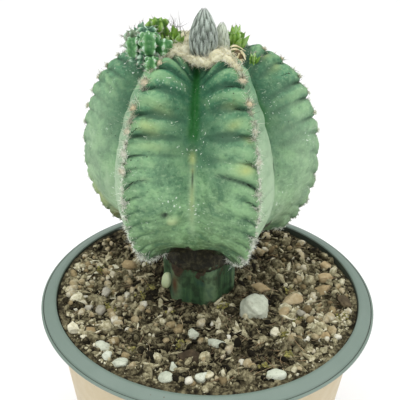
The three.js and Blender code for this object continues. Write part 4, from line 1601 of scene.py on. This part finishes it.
class CACTUS_OT_buds(bpy.types.Operator):
    """Buds: the hairy flower bud, the paler one behind it and the dried flower"""

    bl_idname = "cactus.add_buds"
    bl_label = "Add the buds and the dried flower"

    def execute(self, context):
        random = np.random.default_rng(41)
        at, upright = (-3, 0.8, UNION_Z + 71.2), (0, 0)
        core = wrap("core", 40, 40, bud_core(at, 4.3, 14.6, upright))
        coat = bud_hairs("coat", at, 4.3, 15.6, upright, 60, 80, 0.16, random, 7.4)
        bud = joined("flower_bud_hairs", core, coat)
        wear(bud, hair_finish("bud_hair", (54, 66, 52), (122, 136, 122), (226, 238, 228)))
        settle(bud, "bud_hair", "flower_bud")

        at, lean = (2, 4, UNION_Z + 70.1), (0.6, 0.6)
        core = wrap("core", 32, 32, bud_core(at, 2.75, 11.4, lean))
        coat = bud_hairs("coat", at, 2.8, 12.0, lean, 60, 34, 0.15, random, 5.4)
        bud = joined("pale_bud_hairs", core, coat)
        wear(bud, hair_finish("pale_hair", (160, 172, 148), (196, 206, 184), (236, 244, 230)))
        settle(bud, "pale_bud", "flower_bud_pale")

        at = np.array((7.4, 1.4, UNION_Z + 70.6))
        straps = []
        for i in range(9):
            turn = i * 0.72 + random.uniform(-0.2, 0.2)
            length, width = random.uniform(2.6, 3.2), random.uniform(1.2, 1.8)
            base, rise = random.uniform(0.8, 3.0), random.uniform(0.5, 1.4)
            drop = random.uniform(0.3, 1.6)
            straps.append(dried_strap(at, turn, (0.3, 0), length, width, base, rise, drop))
        # Longer ones lie over one another from left to right in front
        for i, (turn, base) in enumerate(((-0.35, 1.0), (-0.15, 2.2), (0.1, 3.3), (0.35, 4.2))):
            start = (-3.2 + 0.3 * i, -0.9 + 0.5 * i)
            straps.append(dried_strap(at, turn, start, 5.4, 1.5, base, 0.9, 1.3))
        core = wrap("core", 24, 14, bud_core(tuple(at), 2.2, 4.0, upright))
        flower = joined("dried_petals", core, *straps)
        dried = wool_finish(
            "dried_petals",
            (0.0, paint(92, 78, 48)),
            (0.35, paint(188, 176, 130)),
            (0.8, paint(226, 218, 180)),
        )
        wear(flower, dried)
        settle(flower, "dried_petals", "dried_flower")
        return {"FINISHED"}


# Young heads


# Share of a head's round form that is left off at its foot
HEAD_FOOT = 0.14


def head_form(at, radius, height, ribs, turn, lean, spread, rows, notch):
    """A small globe of broad notched ribs with a dimpled top."""

    def place(around, up):
        closed = between_ends(up)
        angle = around * TURN
        wave = 1 - np.abs(np.sin(ribs * angle / 2)) ** 0.9
        arc = math.pi * (HEAD_FOOT + (1 - HEAD_FOOT) * up)
        t = (1 - np.cos(arc)) / 2
        shape = 0.68 + 0.32 * wave
        whorl = rows * t + 0.5 * (np.floor(ribs * angle / TURN + 0.5) % 2)
        lobe = 1 - np.abs(2 * (whorl % 1) - 1) ** 1.6
        within = smooth(t, 0, 0.12) * (1 - smooth(t, 0.85, 1))
        knobs = 1 + notch * (lobe - 0.55) * wave**0.7 * within
        r = radius * np.sin(arc) ** 0.62 * spread ** (2 * t) * shape * knobs * closed
        x = at[0] + lean[0] * t + r * np.cos(angle + turn)
        y = at[1] + lean[1] * t + r * np.sin(angle + turn)
        top = 0.16 * smooth(arc, 2.45, math.pi) - 0.07 * wave * np.sin(arc) * smooth(t, 0.5, 0.9)
        places = np.stack([x, y, at[2] + height * (0.97 * t - top)], -1)
        places[:, :2] += 0.36 * waves(places, 1.7, 2)[:, None] * closed[:, None]
        return places, {"ridge": np.clip(wave * (0.5 + 0.5 * lobe), 0, 1), "tint": 0 * t}

    return place


HEADS = [
    # name, place on the crown above the graft, radius, height, ribs, turn, lean, spread, tone
    ("offset_left_base", (-19.4, 3, 68.6), 6.4, 6.4, 6, 0, (0, 0), 1, "dark"),
    ("offset_left_front", (-19.2, -1.4, 73), 3.3, 7.6, 5, 0.4, (0, 0), 1, "young"),
    ("offset_left_block", (-14.8, -0.6, 71.6), 3, 6.6, 4, 0, (0, 0), 1, "young"),
    ("offset_left_side", (-24, 2, 71.6), 3.1, 6.4, 5, 0, (0, 0), 1, "young"),
    ("offset_left_felted", (-24.4, 7.8, 71), 3.4, 8.2, 6, 0, (0, 0), 1, "felted"),
    ("offset_left_middle", (-20, 4.6, 74.8), 3.2, 6, 5, 0.9, (0, 0), 1, "dark"),
    ("offset_left_point", (-22, 12.6, 71.6), 3.3, 10, 5, 0, (-1, -1), 1, "dark"),
    ("offset_left_round", (-17.4, 10, 72.8), 3.6, 9.8, 6, 0, (0, 0), 1, "bright"),
    ("offset_left_spiky", (-11.8, 6.4, 72.8), 3, 9, 5, 0.5, (0, 0), 1, "bright"),
    ("offset_left_low", (-18, -6.6, 68.6), 2.6, 5.8, 5, 0.2, (0, 0), 1, "young"),
    ("offset_right", (6.8, 7.6, 71.6), 3.6, 10.6, 5, 0.3, (0, 0), 1.2, "bright"),
    ("offset_right_low", (12.6, 5.2, 68.6), 2, 5, 5, 0, (0, 0), 1, "bright"),
]
# For each tone the colour between the ribs, on them and of their mottling, and how downy it is; the
# first two hold painted shade and painted light
HEAD_TONES = {
    "dark": ((34, 80, 54), (94, 148, 110), (146, 188, 156), 1.0),
    "young": ((58, 116, 62), (116, 168, 106), (164, 200, 154), 1.0),
    "felted": ((84, 110, 78), (142, 162, 132), (176, 190, 168), 0.9),
    "bright": ((58, 104, 24), (136, 178, 54), (176, 206, 102), 0.35),
}
# Heads that carry pointed leaf-like tubercles: how many, how long and how wide
LEAVES = {
    "offset_left_point": (9, 5.4, 2.6),
    "offset_left_spiky": (10, 4.6, 1.9),
    "offset_right": (17, 6.0, 2.2),
    "offset_right_low": (6, 3.0, 1.4),
}
# Hairs on each areole: how many, and the longest in millimetres
BRISTLES = {
    "offset_left_spiky": (5, 3.6),
    "offset_left_felted": (14, 2.0),
    "offset_right": (2, 0.9),
}
PLAIN_BRISTLES = (6, 1.1)


def leaf_form():
    """A plump pointed tubercle, one long and half as wide."""

    def place(around, up):
        angle = around * TURN
        width = 0.27 * np.sin(math.pi * np.clip(up, 0, 1) ** 0.62) ** 0.8 + 0.02 * (1 - up)
        width = width * between_ends(up)
        x, y = width * np.cos(angle), width * 0.8 * np.sin(angle)
        return np.stack([x, y + 0.08 * up**2, up], -1) / MM, {}

    return form_of(wrap("leaf", 8, 7, place))


def head_leaves(random, leaf, sizes, at, radius, height, turn, lean):
    """Pointed tubercles in a spiral round a head, with their tips and the ways they point."""
    leaves, long, wide = sizes
    order = np.arange(leaves)
    level = (order + 0.5) / leaves
    angle = order * GOLDEN_TURN + turn
    tilt = np.interp(level, [0, 1], [0.75, 0.08])
    aims = np.stack([np.cos(angle) * np.sin(tilt), np.sin(angle) * np.sin(tilt), np.cos(tilt)], -1)
    size = long * random.uniform(0.8, 1.05, leaves) * (1 - 0.15 * level)
    start = at + np.array([lean[0], lean[1], 0]) * level[:, None]
    start = start + aims * [radius * 0.5, radius * 0.5, 0] * (1 - level[:, None])
    start[:, 2] += (height - long) * (0.25 + 0.75 * level)
    start[:, 2] -= np.maximum(start[:, 2] + size * aims[:, 2] - at[2] - 0.99 * height, 0)
    broad = np.full(leaves, wide / 0.54)
    fronds = repeated(
        "leaves",
        leaf,
        start,
        turns_towards(aims, random.uniform(-0.4, 0.4, leaves) + angle),
        np.stack([broad, broad, size], -1),
        ridge=random.uniform(0.2, 0.85, leaves),
        tint=np.zeros(leaves),
    )
    return fronds, start + aims * (size * 0.99)[:, None], aims


def areole_places(place, at, height, ribs, lean, rows):
    """Areoles on the tubercles' points, row by row up each rib, and the ways they face."""
    tips, aims = [], []
    for rib in range(ribs):
        for row in range(1, rows + 1):
            t = min((row - 0.5 - 0.5 * (rib % 2)) / rows, 0.93)
            if t < 0.1:
                continue
            arc = math.acos(1 - 2 * t)
            up = (arc / math.pi - HEAD_FOOT) / (1 - HEAD_FOOT)
            here = place(np.array([rib / ribs]), np.array([up]))[0][0]
            tips.append(here)
            aims.append(here - at - [lean[0] * t, lean[1] * t, height * (0.8 * t + 0.02)])
    return np.array(tips), unit(np.array(aims))


def areole_pads(random, lump, tips, aims, pad):
    count = len(tips)
    spin = random.uniform(0, TURN, count)
    wide = pad * random.uniform(0.8, 1.4, count)
    return repeated(
        "pads",
        lump,
        tips - aims * 0.1,
        turns_towards(aims, spin),
        np.stack([wide, wide, np.full(count, pad * 0.6)], -1),
        tint=random.uniform(0.2, 1.0, count),
    )


def areole_pins(random, node, tips, aims):
    """Short pale hairs on each areole, or dark spines on the spiky head."""
    each, longest = BRISTLES.get(node, PLAIN_BRISTLES)
    pick = np.repeat(np.arange(len(tips)), each)
    total = len(pick)
    spiny = node == "offset_left_spiky"
    spread, upward, broader, steps = (0.8, 0.3, 1.2, 3) if spiny else (0.6, 0, 1, 2)
    darkest, palest = (0, 0.25) if spiny else (0.5, 1.0)
    return hairs(
        "pins",
        tips[pick],
        unit(aims[pick] + spread * random.normal(size=(total, 3)) + [0, 0, upward]),
        longest * random.uniform(0.45, 1.05, total),
        random.uniform(0.07, 0.13, total) * broader,
        0.4 * random.normal(size=(total, 3)),
        steps=steps,
        tint=random.uniform(darkest, palest, total),
    )


class CACTUS_OT_heads(bpy.types.Operator):
    """Heads: the young offsets round the crown, with felted areoles and fine spines"""

    bl_idname = "cactus.add_heads"
    bl_label = "Add the young heads"

    def execute(self, context):
        random = np.random.default_rng(51)
        skins = {tone: head_finish(tone + "_head", *looks) for tone, looks in HEAD_TONES.items()}
        felt = wool_finish(
            "areole_felt",
            (0.0, paint(150, 128, 92)),
            (0.35, paint(208, 200, 174)),
            (1.0, paint(236, 238, 230)),
        )
        spine = wool_finish(
            "head_spines",
            (0.0, paint(44, 40, 34)),
            (0.4, paint(132, 122, 104)),
            (0.7, paint(206, 204, 192)),
            (1.0, paint(232, 232, 224)),
        )
        lump = form_of(ball(2))
        leaf = leaf_form()
        for node, near, radius, height, ribs, turn, lean, spread, tone in HEADS:
            at = np.array([near[0], near[1], UNION_Z + near[2]])
            leafy = node in LEAVES
            slim, low, pad = (0.62, 0.7, 0.12) if leafy else (1, 1, 0.17)
            rows = 3 if radius < 6 else 4
            place = head_form(at, radius * slim, height * low, ribs, turn, lean, spread, rows, 0.3)
            parts = [wear(wrap("core", ribs * 12, 44, place), skins[tone])]
            if leafy:
                fronds, tips, aims = head_leaves(
                    random, leaf, LEAVES[node], at, radius, height, turn, lean
                )
                parts.append(wear(fronds, skins[tone]))
            else:
                tips, aims = areole_places(place, at, height, ribs, lean, rows)
            parts.append(wear(areole_pads(random, lump, tips, aims, pad), felt))
            parts.append(wear(areole_pins(random, node, tips, aims), spine))
            whole = joined("young_" + node, *parts)
            settle(whole, tone + "_head", node)
        return {"FINISHED"}


# Potting mix and stones


STONE_GROUPS = {
    "pumice": ["pumice_%d" % i for i in range(1, 11)],
    "grey_gravel": ["gravel_grey_%d" % i for i in range(1, 6)],
    "tan_gravel": ["gravel_tan_%d" % i for i in range(1, 10)],
    "bark": ["bark_chip_1", "bark_chip_2"],
}
# Roughness, then the dark, middle and light colours and the width of the pits in millimetres
STONE_LOOKS = {
    "pumice": (0.04, (166, 170, 152), (202, 208, 188), (226, 230, 214), 0.8),
    "grey_gravel": (0.03, (134, 130, 114), (168, 164, 148), (196, 193, 178), 0.6),
    "tan_gravel": (0.03, (134, 116, 82), (178, 158, 120), (206, 192, 158), 0.6),
    "bark": (0.08, (42, 36, 27), (70, 60, 46), (108, 96, 74), 0.9),
}
# Size against the plain solid that the stone stands for
STONE_GROWTH = {"pumice_1": (1.1, 1.3, 1.4)}
PLAIN_GROWTH = (1.02, 1.02, 1.02)
BARK_CHIPS = 620
MOSS_CUSHIONS = 26
MOSS_BITS = 24


def soil_height(x, y):
    flat = np.stack([x, y, np.zeros_like(x)], -1)
    out = np.hypot(x, y)
    near = smooth(out, 34, 53)
    slope = -SOIL_SLOPE * (0.6 * x + 0.8 * y) * (1 - 0.8 * near)
    heap = (SOIL_EDGE_RISE - SOIL_BACK_DIP * smooth(x + y, 50, 76)) * near
    rough = 1.5 * waves(flat, 9, 1) + 1.0 * waves(flat, 4, 2) + 0.55 * waves(flat, 1.8, 3)
    return SOIL_Z - 0.2 + slope + heap + rough * (1 - 0.6 * smooth(out, 46, 54))


def soil_tint(x, y, random, spread):
    """Dark peat at the back; round the stock darker, partly dark peat and partly painted shade
    under the body; lighter crumbs to the left and right.
    """
    flat = np.stack([x, y, np.zeros_like(x)], -1)
    sides = 0.2 * smooth(np.abs(x), 16, 44) * (1 - 0.8 * smooth(y, 4, 26) * (x < 0))
    sides = sides - 0.16 * smooth(y, 5, 30) + 0.08 * smooth(-y, 2, 20)
    clods = 0.3 * waves(flat, 13, 5) + 0.24 * waves(flat, 5, 6)
    return 0.3 + sides + clods + random.normal(0, spread, len(x))


def soil_bed(around, up):
    """The mix as one closed form: underside and wall first, then its rough top."""
    angle = around * TURN
    bottom, top = 44.2, SOIL_RADIUS - 0.5
    radius = np.interp(up, [0, 0.02, 0.06, 0.1, 1], [0, bottom, top - 0.6, top, 0])
    height = np.interp(up, [0, 0.02, 0.06], [1.5, 1.5, RIM_Z - 7.0])
    x, y = radius * np.cos(angle), radius * np.sin(angle)
    z = np.where(up > 0.06, soil_height(x, y), height)
    places = np.stack([x, y, z], -1)
    return places, {"tint": 0.22 + 0.22 * waves(places, 2.5, 4) + 0.12 * waves(places, 7, 5)}


def rock_form(random, detail, planes, rough):
    """A stone with flat broken faces: the nearest of some planes bounds it each way."""
    rock = ball(detail)
    ways = unit(corners_of(rock))
    faces = unit(random.normal(size=(planes, 3)))
    reach = random.uniform(0.72, 1.0, planes)
    facing = np.maximum(ways @ faces.T, 0.05)
    limits = reach[None] / facing
    radius = (limits**-9).sum(1) ** (-1 / 9)
    radius = np.minimum(radius, 1.25)
    radius *= 1 + rough * 2 * waves(ways, 0.45, 3) + rough * waves(ways, 0.18, 5)
    move_corners(rock, ways * radius[:, None])
    corners = corners_of(rock)
    low, high = corners.min(0), corners.max(0)
    move_corners(rock, (corners - (low + high) / 2) / ((high - low) / 2))
    return form_of(rock)


def disc_spots(random, count, radius, clear):
    """Places on the mix, clear of the stock and of the larger stones."""
    spots = []
    while len(spots) < count:
        angle, reach = random.uniform(0, TURN), radius * math.sqrt(random.random())
        x, y = reach * math.cos(angle), reach * math.sin(angle)
        if all(math.hypot(x - cx, y - cy) > room for cx, cy, room in clear):
            spots.append((x, y))
    return np.array(spots).T


def stone_room(grow):
    """The room that the stock and the larger stones take on the mix: middles and radii."""
    room = [(PLANT_X, PLANT_Y, 14.0)]
    for names in STONE_GROUPS.values():
        for name in names:
            low, high = node_box(name)
            middle = (low + high) / 2
            room.append((middle[0], middle[1], grow * (high - low)[:2].max() / 2))
    return room


def loose_crumbs(random, count, forms, low, high, room):
    """Broken crumbs strewn over the mix, an equal share of each form."""
    share = count // len(forms)
    pieces = []
    for form in forms:
        x, y = disc_spots(random, share, 52.9, room)
        size = low + (high - low) * random.random(share) ** 2.6
        z = soil_height(x, y) + size * random.uniform(-0.1, 0.7, share)
        size *= 1 - 0.3 * smooth(np.hypot(x, y), 50.5, 53)
        sizes = size[:, None] * random.uniform(0.5, 1.15, (share, 3))
        pieces.append(
            repeated(
                "crumbs",
                form,
                np.stack([x, y, z], -1),
                any_turns(random, share),
                sizes,
                smoothed=False,
                tint=soil_tint(x, y, random, 0.2),
            )
        )
    return pieces


def thin_chips(random, form):
    """Bits of bark and straw, long and thin."""
    count = BARK_CHIPS
    x, y = disc_spots(random, count, 51, stone_room(0.9))
    lengths = random.uniform(1.0, 3.6, count)
    east, north = random.normal(size=count), random.normal(size=count)
    aims = np.stack([east, north, 0.35 * random.normal(size=count)], -1)
    return repeated(
        "chips",
        form,
        np.stack([x, y, soil_height(x, y) + 0.5], -1),
        turns_towards(aims, random.uniform(0, TURN, count)),
        np.stack([lengths * 0.16, lengths * 0.3, lengths], -1),
        smoothed=False,
        tint=soil_tint(x, y, random, 0.26),
    )


def small_gravel(random, count):
    """Small stones, thicker set towards the two sides."""
    forms = [rock_form(random, 2, 12, 0.03) for _ in range(5)]
    room = stone_room(1.1)
    pieces = []
    for form in forms:
        most = count // len(forms)
        x, y = disc_spots(random, most * 3, 51.5, room)
        likely = 0.2 + 0.8 * smooth(np.abs(x), 16, 36)
        keep = np.flatnonzero(random.random(most * 3) < likely)[:most]
        x, y, share = x[keep], y[keep], len(keep)
        size = random.uniform(0.7, 2.1, share) * random.uniform(0.7, 1.0, share)
        z = soil_height(x, y) + size * random.uniform(0.15, 0.6, share)
        pieces.append(
            repeated(
                "gravel",
                form,
                np.stack([x, y, z], -1),
                any_turns(random, share),
                size[:, None] * random.uniform(0.7, 1.15, (share, 3)),
                tint=np.clip(random.normal(0.5, 0.24, share), 0, 1),
            )
        )
    return joined("small_gravel", *pieces)


def dry_fibres(random, count):
    """Dry fibres and roots that lie on the mix; those near the lip turn inwards."""
    x, y = disc_spots(random, count, 51, [(PLANT_X, PLANT_Y, 13.4)])
    angle = random.uniform(0, TURN, count)
    aims = unit(np.stack([np.cos(angle), np.sin(angle), 0.25 * random.random(count) + 0.05], -1))
    lengths = 1.8 + 7 * random.random(count) ** 1.8
    inward = -np.stack([x, y, np.zeros(count)], -1) / 54
    bends = 0.4 * random.normal(size=(count, 3)) * [1, 1, 0.3] - [0, 0, 0.18]
    far = np.hypot(x + lengths * aims[:, 0], y + lengths * aims[:, 1]) > 51
    aims[far, :2] = unit(inward[far, :2])
    return hairs(
        "soil_fibres",
        np.stack([x, y, soil_height(x, y) + 0.5], -1),
        aims,
        lengths,
        random.uniform(0.12, 0.32, count),
        bends,
        steps=6,
        tint=random.uniform(0.15, 1, count),
    )


def moss_cushions(random, form):
    """Small soft cushions of bits that lie close together."""
    x, y = disc_spots(random, MOSS_CUSHIONS, 50, stone_room(1.1))
    pick = np.repeat(np.arange(MOSS_CUSHIONS), MOSS_BITS)
    total = len(pick)
    x, y = x[pick] + random.normal(0, 0.9, total), y[pick] + random.normal(0, 0.9, total)
    inside = np.hypot(x, y) < 52
    x, y, total = x[inside], y[inside], inside.sum()
    size = random.uniform(0.22, 0.6, total)
    return repeated(
        "moss_bits",
        form,
        np.stack([x, y, soil_height(x, y) + random.uniform(0.2, 0.9, total)], -1),
        any_turns(random, total),
        np.stack([size] * 3, -1),
        tint=random.uniform(0, 1, total),
    )


class CACTUS_OT_soil(bpy.types.Operator):
    """Potting mix: a rough bed of peat with crumbs, small gravel, dry fibres and moss"""

    bl_idname = "cactus.add_soil"
    bl_label = "Add the potting mix"

    def execute(self, context):
        settings = context.scene.cactus_soil
        random = np.random.default_rng(61)
        mix = soil_finish("potting_mix")
        bed = wear(wrap("soil_bed", 216, 110, soil_bed), mix)
        settle(bed, "potting_mix", "soil")

        rocks = [rock_form(random, 2, 9, 0.06) for _ in range(6)]
        grains = [rock_form(random, 1, 7, 0.05) for _ in range(4)]
        count = int(settings.crumbs * 0.85)
        fine = loose_crumbs(random, count, grains, 0.25, 0.9, stone_room(0.55))
        count = int(settings.crumbs * 0.15)
        coarse = loose_crumbs(random, count, rocks, 0.8, 2.5, stone_room(0.95))
        coarse.append(thin_chips(random, grains[0]))
        settle(wear(joined("soil_crumbs_coarse", *coarse), mix), "potting_mix")
        settle(wear(joined("soil_crumbs_fine", *fine), mix), "potting_mix")

        tan = stone_finish(
            "small_gravel",
            (0.0, paint(110, 96, 68)),
            (0.35, paint(158, 142, 106)),
            (0.6, paint(184, 172, 140)),
            (0.85, paint(206, 202, 180)),
            (1.0, paint(224, 222, 206)),
        )
        settle(wear(small_gravel(random, settings.gravel), tan), "tan_gravel")

        straw = wool_finish(
            "dry_fibre",
            (0.0, paint(84, 62, 40)),
            (0.5, paint(150, 122, 84)),
            (1.0, paint(206, 188, 148)),
        )
        settle(wear(dry_fibres(random, settings.fibres), straw), "potting_mix")

        green = wool_finish(
            "moss", (0.0, paint(84, 86, 38)), (0.5, paint(128, 124, 58)), (1.0, paint(170, 164, 96))
        )
        settle(wear(moss_cushions(random, grains[1]), green), "potting_mix")
        return {"FINISHED"}


class CACTUS_OT_stones(bpy.types.Operator):
    """Stones: the larger pumice, gravel and bark on the mix"""

    bl_idname = "cactus.add_stones"
    bl_label = "Add the larger stones"

    def execute(self, context):
        random = np.random.default_rng(71)
        for group, names in STONE_GROUPS.items():
            rough, dark, middle, light, pits = STONE_LOOKS[group]
            pieces = []
            for name in names:
                low, high = node_box(name)
                size = (high - low) / 2
                detail = 5 if size.max() > 4.5 else 4
                form = rock_form(random, detail, 13, rough)
                grown = size * STONE_GROWTH.get(name, PLAIN_GROWTH)
                tint = np.array([random.uniform(0.35, 0.75)])
                pieces.append(
                    repeated(name, form, [(low + high) / 2], np.eye(3)[None], [grown], tint=tint)
                )
            finish = stone_finish(
                "stone_" + group,
                (0.0, paint(*dark)),
                (0.5, paint(*middle)),
                (1.0, paint(*light)),
                grain=pits,
            )
            whole = wear(joined("stones_" + group, *pieces), finish)
            settle(whole, group, *names)
        return {"FINISHED"}


# Stage


# The camera looks down on the pot from close by, turned a little about its own axis
CAMERA_PLACE = (-0.0032267, -0.1816123, 0.2282927)
CAMERA_RIGHT = (0.99986165, 0.00781708, 0.01468232)
CAMERA_UP = (-0.01663362, 0.46989158, 0.88256741)
CAMERA_BACK = (0.0, -0.88268953, 0.4699566)
CAMERA_LENS = 54


class CACTUS_OT_stage(bpy.types.Operator):
    """Stage: a pale floor, soft lamps and the camera"""

    bl_idname = "cactus.add_stage"
    bl_label = "Add the floor, lamps and camera"

    def execute(self, context):
        settings = context.scene.cactus_stage
        deselect()
        bpy.ops.mesh.primitive_plane_add(size=settings.floor, location=(0, 2.0, 0))
        floor = context.active_object
        floor.name = "floor"
        pale = Finish("floor_white", roughness=0.9, specular=0.1)
        dim, bright = (0.93, 0.93, 0.93, 1), (0.95, 0.95, 0.95, 1)
        wear(floor, pale.done(pale.ramp(pale.noise(400, 2), (0.3, dim), (0.7, bright))))

        world = bpy.data.worlds.new("soft_light")
        world.use_nodes = True
        sky = world.node_tree.nodes["Background"]
        sky.inputs["Color"].default_value = (1.0, 1.0, 1.0, 1)
        sky.inputs["Strength"].default_value = settings.sky
        context.scene.world = world

        for name, place, size, power in (
            ("ceiling_lamp", (0, 0, 3.0), 5.0, settings.ceiling),
            ("main_lamp", (-0.6, -0.55, 0.75), 0.7, settings.key),
            ("second_lamp", (0.75, -0.4, 0.45), 0.7, settings.fill),
        ):
            bpy.ops.object.light_add(type="AREA", location=place)
            lamp = context.active_object
            lamp.name = name
            lamp.data.size = size
            lamp.data.energy = power
            aim = Vector((0, 0, 0.12)) - lamp.location
            lamp.rotation_euler = aim.to_track_quat("-Z", "Y").to_euler()

        bpy.ops.object.camera_add()
        camera = context.active_object
        camera.name = "camera"
        turned = Matrix([CAMERA_RIGHT, CAMERA_UP, CAMERA_BACK]).transposed().to_4x4()
        camera.matrix_world = Matrix.Translation(CAMERA_PLACE) @ turned
        camera.data.lens = CAMERA_LENS
        camera.data.sensor_width = 36
        camera.data.clip_start = 0.01
        camera.data.clip_end = 50
        context.scene.camera = camera
        context.scene.view_settings.view_transform = "Standard"
        context.scene.view_settings.look = "None"
        return {"FINISHED"}


OPERATORS = (
    CACTUS_OT_pot,
    CACTUS_OT_body,
    CACTUS_OT_stock,
    CACTUS_OT_crest_wool,
    CACTUS_OT_crown_wool,
    CACTUS_OT_buds,
    CACTUS_OT_heads,
    CACTUS_OT_soil,
    CACTUS_OT_stones,
    CACTUS_OT_stage,
)
SETTINGS = {
    "cactus_pot": PotSettings,
    "cactus_body": BodySettings,
    "cactus_wool": WoolSettings,
    "cactus_soil": SoilSettings,
    "cactus_stage": StageSettings,
}


class CACTUS_PT_pieces(bpy.types.Panel):
    """Lists the pieces and their settings"""

    bl_label = "Potted cactus"
    bl_space_type = "VIEW_3D"
    bl_region_type = "UI"
    bl_category = "Cactus"

    def draw(self, context):
        for operator in OPERATORS:
            self.layout.operator(operator.bl_idname)
        for name, group in SETTINGS.items():
            box = self.layout.box()
            for field in group.__annotations__:
                box.prop(getattr(context.scene, name), field)


def register():
    for group in SETTINGS.values():
        bpy.utils.register_class(group)
    for name, group in SETTINGS.items():
        setattr(bpy.types.Scene, name, bpy.props.PointerProperty(type=group))
    for operator in (*OPERATORS, CACTUS_PT_pieces):
        bpy.utils.register_class(operator)


def unregister():
    for operator in reversed((*OPERATORS, CACTUS_PT_pieces)):
        bpy.utils.unregister_class(operator)
    for name, group in SETTINGS.items():
        delattr(bpy.types.Scene, name)
        bpy.utils.unregister_class(group)


def main():
    register()
    for operator in OPERATORS:
        family, name = operator.bl_idname.split(".")
        getattr(getattr(bpy.ops, family), name)()


if __name__ == "__main__":
    main()
